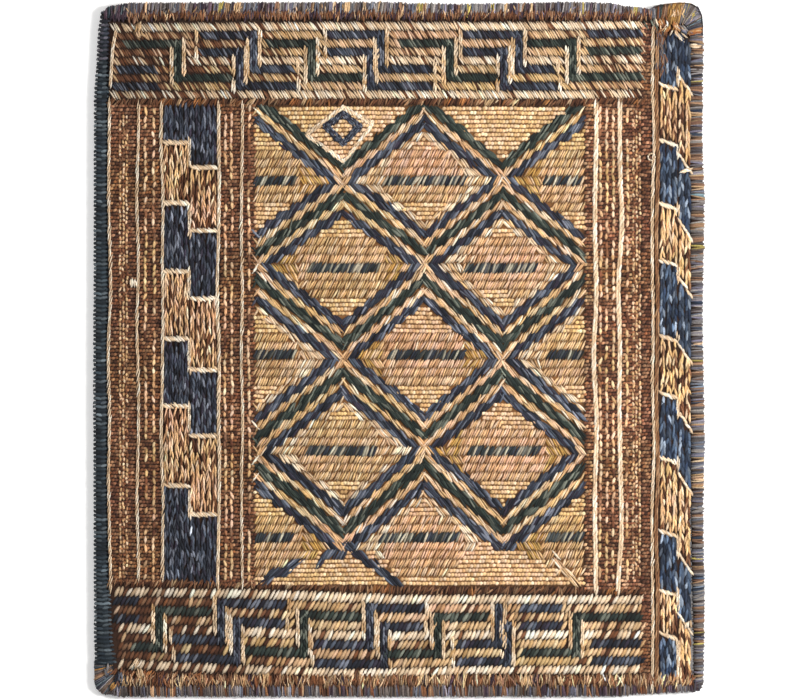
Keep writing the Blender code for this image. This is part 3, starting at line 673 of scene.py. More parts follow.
class Border:
    """Where the dark Zs, their uprights and the light strips of one border lie."""

    def __init__(self, sets, extra_bars, mirrored):
        self.bars, self.uprights, self.strips = [], [], []
        for row, (list_of_z, wool) in enumerate(zip(sets, ("indigo", "green", "indigo"))):
            for left, upright, right in list_of_z:
                upper, lower = (left, upright + UPRIGHT), (upright, right)
                right_row, left_row = row, row + 1
                if mirrored:
                    upper, lower, right_row, left_row = lower, upper, left_row, right_row
                self.bars += [(row, *upper, wool), (row + 4, *lower, wool)]
                self.uprights.append((upright, row, row + 5, wool))
                self.strips.append((upright + UPRIGHT + 2.4, right_row, right_row + 4))
                self.strips.append((upright - 2.4, left_row, left_row + 4))
                if wool == "indigo":
                    for ends, first, last in ((upper, row, row + 1.4), (lower, row + 3.6, row + 5)):
                        self.strips += [(ends[0] - 2.8, first, last), (ends[1] + 2.8, first, last)]
        self.bars += extra_bars

    def bar_at(self, p, row):
        """Yarn of the dark bar there, or None."""
        return next((wool for at, left, right, wool in self.bars if at == row and left <= p < right), None)

    def upright_at(self, p, row):
        return any(
            start <= p < start + UPRIGHT and first <= row < last for start, first, last, _ in self.uprights)

    def strip_at(self, p, row):
        return 0 <= row < BORDER_ROWS and any(
            abs(p - middle) < 2.3 and first <= row + 0.5 < last for middle, first, last in self.strips)


def border_yarns(rng, border, top, low, wrap_pitch):
    """Places of the slanting wraps of a border, gathered by their yarn."""
    gathered = {}
    for row in range(-1, BORDER_ROWS + 1):
        for p in np.arange(BORDER_P[0] + 1.5 + (row % 2) * 1.6, BORDER_P[1], wrap_pitch):
            if p < outline("selvedge_inner", row_place(p, row + 0.5, top, low)) + 1.5:
                continue
            wool = border.bar_at(p, row)
            if wool is None:
                if border.upright_at(p, row) or border.strip_at(p, row):
                    continue
                wool = "ivory" if row in WORN_ROWS else "sand"
                worn = np.interp(p, (110, 170, 250, 290, 560, 600), (0.8, 0.7, 0.5, 0.08, 0.06, 0.3))
                if rng.random() < worn * WORN_ROWS.get(row, 1.0):
                    wool = "brown"
            gathered.setdefault(wool, []).append((p, row + 0.5))
    return gathered


def weave_border(border, top, low, slant, seed, wrap_pitch):
    """Strands of one border: wrapped rows, dark uprights and light strips."""
    rng = np.random.default_rng(seed)
    pile = YarnPile()
    rise = sizes().wrap_rise / MM
    for wool, spots in border_yarns(rng, border, top, low, wrap_pitch).items():
        spots = np.array(spots)
        count = len(spots)
        p, part = spots[:, 0], spots[:, 1]
        q = row_place(p, part, top, low)
        pitch = (np.interp(p, *low) - np.interp(p, *top)) / BORDER_ROWS
        tone = pick(rng, wool, count, 0.2 if wool in ("indigo", "green") else 0.14)
        # Painted shade: every wrap darker towards the left end, where the light is weaker.
        tone *= np.interp(p, (110, 230, 290), (0.7, 0.8, 1.0))[:, None]
        if wool == "sand":
            tone = shift(tone, p, q, 4.0)
        dim = wool == "brown"
        length = pitch / abs(math.sin(math.radians(slant))) * (0.9 if dim else 1.08)
        pile.lay(
            rng.normal(p, 0.25), rng.normal(q, 0.25), rng.normal(slant, 4.5, count),
            length * rng.normal(1.0, 0.05, count), wrap_pitch * rng.normal(0.9, 0.08, count),
            rise * (0.6 if dim else 1.0) * rng.normal(1.0, 0.1, count), tone)
    for start, first, last, wool in border.uprights:
        begin, end = row_place(start, np.array([first + 0.15, last - 0.15]), top, low)
        for lane, lane_slant in enumerate((81.0, 90.0, 98.0)):
            steps = np.arange(begin, end - 3.0, 6.4) + (lane % 2) * 3.0
            steps = steps[steps < end - 2.0]
            count = len(steps)
            pile.lay(
                rng.normal(start + 1.3 + lane * 2.4, 0.2, count), steps + 2.6,
                rng.normal(lane_slant, 4, count), 9.6, 2.7, rise * 1.05, pick(rng, wool, count, 0.14),
                lift=0.1)
    for middle, first, last in border.strips:
        if middle < BORDER_P[0] + 2 or middle > BORDER_P[1] - 2:
            continue
        begin, end = row_place(middle, np.array([first, last]), top, low)
        steps = np.arange(begin + 2.5, end - 1.0, 6.0)
        rows = ((steps - begin) / (end - begin) * (last - first) + first).astype(int)
        steps = steps[np.array([not border.bar_at(middle, row) for row in rows], bool)]
        count = len(steps)
        tone = pick(rng, "ivory", count, 0.08)
        mix_in(rng, tone, 0.4, "sand", 0.12)
        for side in (-1, 1):
            pile.lay(
                rng.normal(middle + side * 0.9, 0.2, count), steps + side * 1.4, rng.normal(82, 6, count),
                9.4, 2.3, rise, tone * np.exp(rng.normal(0, 0.1, count))[:, None], lift=0.15)
    return pile


class SADDLEBAG_OT_borders(bpy.types.Operator):
    """Wrap the meander borders above and below the field"""

    bl_idname = "saddlebag.borders"
    bl_label = "Meander Borders"

    def execute(self, context):
        top = Border((TOP_OUTER, TOP_MIDDLE, TOP_INNER), TOP_BARS, False)
        low = Border((LOW_OUTER, LOW_MIDDLE, LOW_INNER), LOW_BARS, True)
        for place, pile, more in (
            ("top", weave_border(top, TOP_START, TOP_END, -55.0, 21, 2.6), []),
            ("bottom", weave_border(low, LOW_START, LOW_END, 58.0, 22, 4.2),
             ["bottom_outer_bar", "bottom_inner_bar"]),
        ):
            names = numbered(place + "_outer_z", 3) + numbered(place + "_inner_z", 3)
            names += numbered(place + "_middle_z", 4) + [place + "_left_end", place + "_right_end"] + more
            finish_piece(pile.mesh(place + "_border_wraps"), names)
        return {"FINISHED"}


# Stepped side borders, in divisions: starts and ends of the dark blocks in each half.
LEFT_HALVES = (
    (163.5, 189.0, 0.0, ((104, 139), (207, 268), (343, 402), (490, 577))),
    (189.5, 217.0, 0.0, ((104, 164), (235, 295), (374, 432), (519, 582))),
)
RIGHT_HALVES = (
    (660.0, 678.0, 0.3, ((36, 83), (147, 203), (267, 335), (400, 457), (538, 590), (641, 687))),
    (678.5, 691.5, 1.5, ((38, 80), (167, 225), (290, 350), (425, 480), (567, 620), (705, 706))),
)


# Steps of the chained strands down a lane, and the width of two lanes.
CHAIN_STEP, TWO_LANES = 6.6, 5.4


def weave_blocks(halves, first_q, last_q, dark_wool, seed):
    """Vertical chained strands of a stepped side border, with pale rows at each step."""
    rng = np.random.default_rng(seed)
    pile = YarnPile()
    rise = sizes().wrap_rise / MM
    for left, right, fall, blocks in halves:
        lanes = max(4, 2 * round((right - left) / TWO_LANES))
        pitch = (right - left) / lanes
        for lane in range(lanes):
            side = 1 if lane % 2 else -1
            p = left + (lane + 0.5 - 0.12 * side) * pitch
            q = np.arange(first_q + 4 + (lane % 2) * 3.4, last_q - 3, CHAIN_STEP)
            dark, pale = np.zeros((2, len(q)), bool)
            level = q - fall * (p - (left + right) / 2)
            for start, end in blocks:
                dark |= in_span(level, start, end)
                pale |= in_span(level, start - 8, start) | in_span(level, end, end + 7)
            for chosen, wool in ((dark, dark_wool), (~dark & ~pale, "tan")):
                count = int(chosen.sum())
                tan = wool == "tan"
                tone = pick(rng, wool, count, 0.22 if tan else 0.32)
                if tan:
                    tone = 1.12 * shift(tone, np.full(count, p), q[chosen], 6.0)
                    mix_in(rng, tone, 0.3, "brown", 0.15)
                pile.lay(
                    rng.normal(p, 0.35, count), rng.normal(q[chosen], 0.8),
                    rng.normal(90 + side * 9.0, 5, count), rng.normal(12.0, 1.5, count),
                    pitch * (0.85 if tan else 1.1),
                    rise * rng.normal(1.0, 0.15, count), tone, bow=rng.normal(0, 0.3, count))
        for start, end in blocks:
            for middle in (start - 4.2, end + 3.6):
                if middle < first_q + 6 or middle > last_q - 6:
                    continue
                p = np.arange(left + 1.5, right, PLY_PITCH * 1.15)
                count = len(p)
                pile.lay(
                    p, rng.normal(middle + fall * (p - (left + right) / 2), 0.4),
                    rng.normal(-38 - 12 * fall, 6, count), 9.0, 3.0, rise, pick(rng, "ivory", count, 0.1),
                    lift=0.15)
    (_, join, _, first_blocks), (_, _, other_fall, second_blocks) = halves
    q = np.arange(first_q + 6.0, last_q - 6.0, 5.2)
    changes = np.zeros(len(q), bool)
    for blocks, drop in ((first_blocks, 0.0), (second_blocks, 6 * other_fall)):
        for start, end in blocks:
            changes ^= in_span(q, start - drop, end - drop)
    q = q[changes]
    count = len(q)
    for side in (-1, 1):
        pile.lay(
            rng.normal(join + 0.3 + side * 0.8, 0.25, count), q + side * 1.3, rng.normal(84, 6, count),
            8.6, 2.1, rise, pick(rng, "ivory", count, 0.1), lift=0.25)
    return pile


class SADDLEBAG_OT_blocks(bpy.types.Operator):
    """Chain the stepped blocks of both side borders"""

    bl_idname = "saddlebag.blocks"
    bl_label = "Stepped Blocks"

    def execute(self, context):
        for place, halves, first, last, wool, seed, count in (
            ("left", LEFT_HALVES, 104, 584, "indigo", 31, 4), ("right", RIGHT_HALVES, 34, 686, "blue", 32, 6),
        ):
            piece = weave_blocks(halves, first, last, wool, seed).mesh(place + "_block_chains")
            finish_piece(piece, numbered(place + "_block", count))
        return {"FINISHED"}


# Brown stripes: left, right, yarn, first and last height.
STRIPES = (
    (108.0, 137.0, "brown", 106, 582),
    (138.5, 161.5, "brown", 106, 582),
    (219.5, 254.0, "brown", 106, 586),
    (584.0, 593.0, "cocoa", 106, 592),
    (595.5, 619.0, "brown", 106, 592),
    (621.0, 633.0, "cocoa", 106, 592),
    (633.0, 641.0, "brown", 106, 592),
    (641.0, 651.0, "brown", 24, 684),
)
# Twisted cords: middle, width, first and last height, yarn.
CORDS = (
    (109.0, 2.6, 104, 590, "ivory"),
    (137.8, 2.6, 107, 580, "ivory"),
    (162.3, 2.8, 107, 582, "ivory"),
    (218.6, 3.2, 107, 586, "ivory"),
    (241.5, 2.6, 107, 586, "ivory"),
    (594.6, 4.6, 106, 590, "ivory"),
    (619.6, 4.6, 106, 590, "ivory"),
    (652.6, 2.8, 30, 690, "ivory"),
    (656.8, 3.6, 34, 690, "copper"),
)
# Dashes and chains in the stripes: their places across, and where the chains begin.
DASHES = (145.5, 153.5, 225.5, 232.0, 249.0, 600.5, 606.5, 613.0, 627.0)
CHAINS = ((123.0, 116), (636.5, 112))
# Brown rows above and below the borders: lines, rows down, move and brightness.
CROSS_ROWS = (
    (TOP_START, TOP_END, 7.95, 3.4, 0.72), (LOW_START, LOW_END, -1.55, 0.4, 0.72),
    (LOW_START, LOW_END, 8.6, -0.6, 1.0),
)


class SADDLEBAG_OT_stripes(bpy.types.Operator):
    """Weave the brown stripes with their cords, dashes and chains"""

    bl_idname = "saddlebag.stripes"
    bl_label = "Brown Stripes"

    def execute(self, context):
        rng = np.random.default_rng(41)
        rise = sizes().wrap_rise / MM
        pile = YarnPile()
        for left, right, wool, first, last in STRIPES:
            columns = np.arange(left + 1.6, right - 0.8, BEAD_PITCH)
            rows = np.arange(first, last, RIB_PITCH)
            p, q = np.meshgrid(columns, rows)
            p, q, _ = stagger(
                np.arange(left + 1.6, right - 0.8, BEAD_PITCH), np.arange(first, last, RIB_PITCH), BEAD_PITCH)
            lay_knuckles(pile, rng, p, q, wool, 8.0, RIB_PITCH)
        p = np.arange(BORDER_P[0], 651.0, 1.9)
        count = len(p)
        for start, end, down, move, deep in CROSS_ROWS:
            pile.lay(
                rng.normal(p, 0.4), rng.normal(row_place(p, down, start, end) + move, 0.9),
                rng.normal(62, 16, count), rng.normal(10.0, 1.2, count), 2.2, rise * 0.8,
                deep * blend(rng, count, dict(brown=6, cocoa=2, rust=0.6, sand=0.3), 4, 0.28))
        for middle, width, first, last, wool in CORDS:
            q = np.arange(first, last, 7.0)
            count = len(q)
            sway = (2.2 if 590 < middle < 630 else 1.5) * ripple(np.full(count, middle), q * 1.4, middle)
            for side in (-1, 1):
                pile.lay(
                    rng.normal(middle + sway + side * width * 0.22, 0.15), q + side * 1.7,
                    rng.normal(82, 4, count), 12.5, width * 0.62, rise * 0.95, pick(rng, wool, count, 0.08),
                    lift=0.35)
        for middle in DASHES:
            q = np.arange(110 + (middle % 4), 580, 1.7 * KNUCKLE_PITCH)
            q = q[rng.random(len(q)) < 0.9]
            count = len(q)
            place = np.full(count, middle)
            tone = blend(rng, count, dict(tan=4, sand=4, cocoa=1.6), 3, 0.16)
            pile.lay(
                rng.normal(middle + 0.8 * ripple(place, q, middle), 0.35), rng.normal(q, 0.8),
                rng.normal(90, 10, count), rng.normal(7.9, 1.0, count), 3.3, rise * 0.95,
                1.08 * shift(tone, place, q, 2.0), lift=0.45)
        for middle, first in CHAINS:
            for side in (-3.3, 0.0, 3.3):
                q = np.arange(first + (side > 0) * 1.4, 578, KNUCKLE_PITCH)
                cluster = np.sin((q - first) / 23.5 * 2 * math.pi + 0.4 * side) > 0.2
                count = len(q)
                tone = np.where(
                    cluster[:, None], blend(rng, count, dict(sand=3, tan=2), 1, 0.12),
                    blend(rng, count, dict(tan=3, cocoa=3, brown=1), 2, 0.16))
                pile.lay(
                    rng.normal(middle + side, 0.35, count), rng.normal(q, 0.4), rng.normal(90, 16, count),
                    rng.normal(4.6, 0.5, count), 2.7, rise * 0.85, tone, lift=0.3)
        finish_piece(pile.mesh("brown_weave"), ["brown_ground"])
        return {"FINISHED"}


def grid_sheet(name, columns, rows, place, colour_of):
    """A closed thin sheet: place(p, q, side) gives metres, side 0 above and 1 below."""
    p, q = np.meshgrid(np.linspace(*columns), np.linspace(*rows))
    down, across = p.shape
    verts, tints, maps = [], [], []
    for side in (0, 1):
        verts.append(place(p, q, side).reshape(-1, 3))
        tints.append(colour_of(p, q).reshape(-1, 3))
        u = (p - p.min()) / (p.max() - p.min()) * 0.48 + 0.01 + side * 0.5
        v = (q - q.min()) / (q.max() - q.min()) * 0.98 + 0.01
        maps.append(np.stack((u, v), axis=-1).reshape(-1, 2))
    one = np.arange(p.size).reshape(down, across)
    quad = grid_quads(down, across)
    rim = np.concatenate((one[0, :], one[1:, -1], one[-1, -2::-1], one[-2:0:-1, 0]))
    ahead = np.roll(rim, -1)
    wall = np.stack((rim, ahead, ahead + p.size, rim + p.size), axis=-1)
    quads = np.concatenate((quad, quad[:, ::-1] + p.size, wall))
    return make_mesh(name, np.concatenate(verts), quads, np.concatenate(tints), np.concatenate(maps))


# Outlines in divisions: places along each edge and how far over or down the line lies there.
OUTLINES = {
    "left": ((2, 10, 30, 60, 95, 400, 640, 680, 698), (108, 101, 98, 96.5, 94, 93.2, 94, 95.5, 101)),
    "selvedge_inner": ((0, 20, 300, 580, 600, 640, 665), (112.0, 109.5, 109.5, 110.0, 111.8, 113.5, 119.0)),
    "right": (
        (2, 8, 20, 60, 140, 200, 260, 330, 430, 520, 600, 660, 685, 694),
        (697, 702, 704, 703.5, 702.5, 705, 704, 703, 705, 703.5, 705, 704, 703.5, 701)),
    "right_inner": ((30, 120, 200, 330, 450, 560, 640, 690), (690, 687, 690, 690, 691, 692, 694, 694)),
    "top": (
        (100, 104, 108, 114, 130, 250, 380, 450, 520, 575, 610, 640, 650, 660, 680, 694, 701, 704),
        (14, 8.5, 6, 4, 2.4, 2.4, 2.6, 4.5, 3.4, 1.8, 3.2, 7.5, 8.5, 5, 2.5, 4, 8, 14)),
    "bottom": (
        (95, 102, 120, 300, 560, 620, 640, 697, 701), (686, 695, 697, 697, 696.8, 696.5, 694.5, 692, 690)),
}
# Inner lines of the mouth and the bottom, which run straight across.
MOUTH_INNER, BOTTOM_INNER = 20.5, 681.0
# In millimetres: half the heights of the side and mouth edges, the lift above the floor, and the back cloth.
SIDE_HALF, MOUTH_HALF = 3.45, 1.7
FLOOR_LIFT = 0.2
BACK_THICK = 3.0
# Steps from one strand to the next along the overcast edges and the selvedge.
OVERCAST_STEP, SELVEDGE_STEP = 1.6, 4.2


def outline(name, place):
    """Where an outline lies at a place along it."""
    return np.interp(place, *OUTLINES[name])


def edge_line(steps, outer, inner, upright=False):
    """Middle line and half width of an edge. An upright one runs down the sheet, others across."""
    outer = outline(outer, steps)
    inner = outline(inner, steps) if upright else inner
    middle = (inner + outer) / 2
    return np.stack((middle, steps) if upright else (steps, middle), axis=-1), np.abs(inner - outer) / 2


class SADDLEBAG_OT_cloths(bpy.types.Operator):
    """Lay the ground cloth of the face and the plain back"""

    bl_idname = "saddlebag.cloths"
    bl_label = "Cloths"

    def execute(self, context):
        thick = sizes().cloth_thickness / MM

        def face(p, q, side):
            return metres(p, q, face_top(p, q) - 0.35 - side * (thick - 0.5))

        # The cloth between the strands: real ground cloth, coloured dark as painted shade in the gaps.
        def ground(p, q):
            field = in_span(p, *FIELD_P) & in_span(q, *FIELD_Q)
            base = np.where(field[..., None], PALETTE["ground"][0], PALETTE["core"][0])
            return base * (1 + 0.2 * ripple(p, q, 3.0))[..., None]

        def back(p, q, side):
            ridge = 0.18 * np.cos(q / KNUCKLE_PITCH * 2 * math.pi)
            z = np.where(side == 0, thick - 0.25 + 0 * p, 0.2 + ridge)
            return metres(p, np.maximum(q, outline("top", p) + 1.2), z)

        def striped(p, q):
            brown, rust = PALETTE["brown"][1], PALETTE["rust"][1]
            tone = np.where((np.sin(q / 21.0) > 0.55)[..., None], brown, 0.5 * brown + 0.5 * rust)
            return tone * (1 + 0.15 * ripple(p, q, 5.0))[..., None]

        cloth = grid_sheet("face_cloth", (107.6, 690.0, 90), (19.6, 679.5, 110), face, ground)
        finish_piece(cloth, ["front_panel"])
        plain_back = grid_sheet("back_cloth", (107.6, 690.0, 40), (2.8, 679.5, 620), back, striped)
        finish_piece(plain_back, ["back_panel"])
        return {"FINISHED"}


class SADDLEBAG_OT_selvedge(bpy.types.Operator):
    """Plait the dark selvedge down the left edge"""

    bl_idname = "saddlebag.selvedge"
    bl_label = "Left Selvedge"

    def execute(self, context):
        rng = np.random.default_rng(51)
        pile = YarnPile()
        q = np.arange(12.0, 664.0, SELVEDGE_STEP)
        count = len(q)
        middle, half = edge_line(q, "left", "selvedge_inner", True)
        height = SIDE_HALF + FLOOR_LIFT
        lanes = ((158, 118), (122, 84), (88, 50), (54, 10), (14, -26), (-22, -66))
        row_tone = pick(rng, "selvedge", count, 0.32)
        for number, turn in enumerate(lanes):
            tone = 0.5 * row_tone + 0.46 * pick(rng, "selvedge", count, 0.4)
            tone[q < 60] *= np.array([1.35, 1.0, 1.08])
            pile.hoop(
                rng.normal(middle, 0.25), (-1.0, 0.0), half + 0.5, SIDE_HALF - 0.4, height, turn, 3.1,
                1.2 if number < 3 else 0.6, tone,
                (0.35 if number % 2 else -0.35) * (number < 3) + rng.normal(0, 0.2, count), along=4)
        middle, half = edge_line(np.linspace(13, 686, 120), "left", "selvedge_inner", True)
        pile.core(middle, (-1.0, 0.0), half - 1.4, SIDE_HALF - 0.6, height, "selvedge")
        finish_piece(pile.mesh("selvedge_plait"), ["left_selvedge"])
        return {"FINISHED"}


# Weights of the yarns on each edge.
MOUTH_WOOLS = dict(ash=6, soot=4, plum=1.5, russet=1, sand=0.5, yellow=0.25)
MOUTH_INNER_WOOLS = dict(brown=6, cocoa=3, plum=3, russet=0.8, sand=0.5)
RIGHT_WOOLS = dict(ash=7, soot=3, russet=2.5, blue=1, teal=0.3, yellow=0.2, sand=0.5)
BOTTOM_WOOLS = dict(soot=7, ash=1, plum=1.5, cocoa=1.5, brown=1.5)
FRINGE_WOOLS = dict(brown=4, cocoa=4, russet=2, sand=5, plum=1)
LOW_CORNER_WOOLS = dict(orange=0.7, russet=1, indigo=3, ash=3, selvedge=4, soot=4)


def curve(share, at, spots):
    """Places at the given shares of a line through spots that lie at the shares in at."""
    return np.stack([np.interp(share, at, axis) for axis in zip(*spots)], axis=-1)


class SADDLEBAG_OT_overcasts(bpy.types.Operator):
    """Overcast the mouth, the right edge and the bottom"""

    bl_idname = "saddlebag.overcasts"
    bl_label = "Overcast Edges"

    def mouth(self):
        rng = np.random.default_rng(61)
        pile = YarnPile()
        p = np.arange(103.0, 652.0, OVERCAST_STEP)
        count = len(p)
        middle, half = edge_line(p, "top", MOUTH_INNER)
        height = BACK_THICK + hollow(p, middle[:, 1]) + 2.1
        tone = blend(rng, count, MOUTH_WOOLS, 3, 0.28)
        dark = p < 128
        tone[dark] = blend(rng, int(dark.sum()), dict(selvedge=3, plum=4, soot=1), 2, 0.2)
        pile.hoop(
            rng.normal(middle, 0.4), (0.0, 1.0), half - 0.6, MOUTH_HALF, height, (128, -80),
            2.0 * rng.normal(1, 0.15, count), 1.2 * rng.normal(1, 0.15, count), tone,
            rng.normal(0.8, 1.1, count))
        low = p[(p > 110) & (p < 652)]
        count = len(low)
        for _ in range(2):
            pile.lay(
                rng.normal(low, 0.5), rng.normal(15.4, 1.2, count), rng.normal(86, 16, count),
                rng.normal(9.5, 1.5, count), 2.0, 1.2,
                np.where((low < 126)[:, None], pick(rng, "plum", count, 0.2),
                         blend(rng, count, MOUTH_INNER_WOOLS, 2, 0.25)),
                lift=0.6, bow=rng.normal(0, 0.4, count))
        spots = low[rng.random(count) < 0.3]
        count = len(spots)
        pile.lay(
            spots, rng.normal(outline("top", spots) + 8.0, 1.8), rng.normal(80, 24, count), 6.0, 1.7, 1.1,
            blend(rng, count, dict(sand=2, russet=1, ash=3, plum=2), 1, 0.2), lift=0.8)
        steps = np.linspace(103, 652, 110)
        middle, half = edge_line(steps, "top", MOUTH_INNER)
        height = BACK_THICK + hollow(steps, middle[:, 1]) + 2.0
        pile.core(middle, (0.0, 1.0), half - 1.2, MOUTH_HALF, height)
        finish_piece(pile.mesh("mouth_overcast"), ["mouth_binding"])

    def right(self):
        rng = np.random.default_rng(62)
        pile = YarnPile()
        q = np.arange(33.0, 688.0, OVERCAST_STEP)
        count = len(q)
        middle, half = edge_line(q, "right", "right_inner", True)
        height = SIDE_HALF + FLOOR_LIFT
        pile.hoop(
            rng.normal(middle, 0.35), (1.0, 0.0), half + 0.3, SIDE_HALF - 0.4, height, (160, -70),
            2.0 * rng.normal(1, 0.15, count), 1.0 * rng.normal(1, 0.2, count),
            0.72 * blend(rng, count, RIGHT_WOOLS, 2, 0.2), rng.normal(-0.5, 1.3, count))
        middle, half = edge_line(np.linspace(28, 690, 120), "right", "right_inner", True)
        pile.core(middle, (1.0, 0.0), half - 0.5, SIDE_HALF - 0.6, height)
        finish_piece(pile.mesh("right_overcast"), ["right_binding"])

    def low_corner(self, pile, rng):
        """Strands that turn the rounded corner between the selvedge and the bottom."""
        count = 44
        share = np.linspace(0.0, 1.0, count)
        rim = curve(
            share, (0, 0.3, 0.5, 0.7, 1), ((93.2, 662), (93.3, 682), (95.5, 690.5), (102, 695.5), (122, 697)))
        inner = curve(share, (0, 0.5, 1), ((111, 664), (112, 676), (124, 679)))
        tone = blend(rng, count, LOW_CORNER_WOOLS, 3, 0.25)
        tone[38:] = pick(rng, "indigo", 6, 0.3)
        pile.span(rng.normal(inner, 1.0), rng.normal(rim, 0.3), 6.4, 3.2, 2.2, tone)
        # The lower layer takes the same colours a fifth darker: painted shade under the upper layer.
        pile.span(inner + rng.normal(0, 1.0, (count, 2)) * 0.5, rim, 3.2, 0.6, 2.2, tone * 0.8)

    def bottom(self):
        rng = np.random.default_rng(63)
        pile = YarnPile()
        p = np.arange(114.0, 700.5, OVERCAST_STEP)
        count = len(p)
        middle, half = edge_line(p, "bottom", BOTTOM_INNER)
        tone = blend(rng, count, BOTTOM_WOOLS, 3, 0.28)
        height = SIDE_HALF + FLOOR_LIFT
        pile.hoop(
            rng.normal(middle, 0.4), (0.0, -1.0), half + 0.4, SIDE_HALF - 0.5, height, (140, -75),
            2.0 * rng.normal(1, 0.15, count), 1.0, tone, rng.normal(0.6, 1.2, count))
        self.low_corner(pile, rng)
        low = p[(p > 114) & (p < 694)]
        count = len(low)
        for _ in range(2):
            pile.lay(
                rng.normal(low, 0.6), rng.normal(BOTTOM_INNER, 1.4, count), rng.normal(86, 17, count),
                rng.normal(12.0, 2.0, count), 2.1, 1.2, blend(rng, count, FRINGE_WOOLS, 4, 0.4),
                lift=0.5, bow=rng.normal(0, 0.5, count))
        middle, half = edge_line(np.linspace(108, 697, 120), "bottom", BOTTOM_INNER)
        pile.core(middle, (0.0, -1.0), half - 0.6, SIDE_HALF - 0.6, height)
        finish_piece(pile.mesh("bottom_overcast"), ["bottom_binding"])

    def execute(self, context):
        self.mouth()
        self.right()
        self.bottom()
        return {"FINISHED"}


# Folded corner: shares along its rim, the rim and the inner ends of its strands.
CORNER_SHARES = (0.0, 0.12, 0.26, 0.42, 0.55, 0.66, 0.76, 0.88, 1.0)
CORNER_RIM = (
    (650, 9), (656, 5), (667, 3), (681, 1.6), (692, 2.6), (699, 6.5), (702.6, 14), (703.6, 24), (703.6, 34))
CORNER_INNER = (
    (650, 21), (655, 22), (665, 23), (677, 23), (683, 23), (686, 23), (687, 25), (688, 29), (689, 36))
# Yarns of the corner, each set from a share of the rim on.
CORNER_COLOURS = (
    (0.0, dict(ash=4, soot=3, brown=2, sand=0.5)),
    (0.13, dict(green=2, soot=3, brown=2, rust=1)),
    (0.22, dict(russet=3, orange=2, sand=1, brown=2)),
    (0.32, dict(orange=3, gold=3, sand=2, russet=2)),
    (0.47, dict(sand=3, yellow=1, ash=3)),
    (0.54, dict(yellow=1, ivory=1, ash=3, soot=2)),
    (0.6, dict(ash=6, soot=2, teal=0.6, sand=0.5)),
    (0.8, dict(ash=3, soot=2, indigo=3, teal=1)),
    (0.9, dict(rust=3, ash=2, indigo=1, sand=1)),
)
# Tufts on the corner: place, slant, length, strands and yarns.
CORNER_TUFTS = (
    (661, 24, 112, 9.0, 14, dict(rust=3, ivory=2, brown=3)),
    (668, 30, 65, 8.0, 16, dict(rust=4, ivory=1.5, cocoa=3, orange=1)),
    (677, 26, 120, 8.0, 14, dict(sand=4, rust=2, cocoa=2)),
    (661, 33, 95, 8.0, 12, dict(brown=3, soot=2, russet=1)),
    (652, 25, 112, 11.0, 7, dict(green=3, soot=2)),
    (676, 13, 80, 9.0, 12, dict(sand=2, orange=3, russet=2)),
    (694, 14, 40, 9.0, 9, dict(ash=4, sand=1, yellow=1)),
    (662, 44, 90, 12.0, 16, dict(brown=3, soot=4, russet=1)),
    (662, 58, 90, 12.0, 16, dict(brown=3, soot=4, russet=1)),
    (662, 69, 90, 10.0, 12, dict(brown=3, soot=4, blue=1)),
    (684, 31, 150, 8.0, 10, dict(ash=3, indigo=2, rust=1)),
    (680, 37, -62, 9.0, 5, dict(ivory=1)),
)


class SADDLEBAG_OT_corner(bpy.types.Operator):
    """Whip the folded corner at the right end of the mouth"""

    bl_idname = "saddlebag.corner"
    bl_label = "Corner Fold"

    def execute(self, context):
        rng = np.random.default_rng(71)
        pile = YarnPile()
        count = 118
        share = np.linspace(0.0, 1.0, count)
        rim, inner = (curve(share, CORNER_SHARES, spots) for spots in (CORNER_RIM, CORNER_INNER))
        tone = np.empty((count, 3))
        for (begin, wools), (stop, _) in zip(CORNER_COLOURS, CORNER_COLOURS[1:] + ((1.01, {}),)):
            chosen = in_span(share, begin, stop)
            tone[chosen] = 0.74 * blend(rng, int(chosen.sum()), wools, 2, 0.26)
        order = rng.permutation(count)
        pile.span(
            rng.normal(inner, 0.9)[order], rng.normal(rim, 0.35)[order], rng.normal(7.1, 0.15, count), 3.5,
            2.1, tone[order])
        pile.span(rim, rim * 0.97 + inner * 0.03, 5.4, 3.3, 2.2, tone)
        for p, q, angle, length, number, wools in CORNER_TUFTS:
            pile.lay(
                rng.normal(p, 3.2, number), rng.normal(q, 2.6, number), rng.normal(angle, 14, number),
                length, 2.0, 1.1, blend(rng, number, wools, 2, 0.2), lift=0.55,
                bow=rng.normal(0, 0.5, number))
        steps = np.linspace(657.5, 700.0, 30)
        bulge = np.sqrt(np.maximum(0.02, 1 - ((steps - 679.0) / 23.0) ** 4))
        middle = np.stack((steps, np.full(30, 19.0)), axis=-1)
        pile.core(middle, (0.0, 1.0), 14.6 * bulge, MOUTH_HALF, 5.0)
        finish_piece(pile.mesh("corner_whipping"), ["corner_fold"])
        return {"FINISHED"}


# Tufts on the face: place, slant, strands, length and yarn.
TUFTS = (
    ((685, 170), 20, 9, 7.0, "ivory"), ((695, 45), 10, 4, 9.0, "ivory"), ((690, 625), 80, 5, 8.0, "ivory"),
    ((132, 282), 95, 6, 9.0, "ivory"), ((136, 664), 62, 5, 11.0, "ivory"), ((139, 674), 105, 5, 10.0, "sand"),
    ((113, 687), 60, 5, 9.0, "orange"), ((107, 672), 100, 4, 9.0, "ash"), ((120, 680), 95, 9, 12.0, "indigo"),
    ((134, 20), 86, 5, 10.0, "russet"), ((137, 27), 75, 5, 10.0, "sand"), ((141, 34), 100, 4, 8.0, "sand"),
)


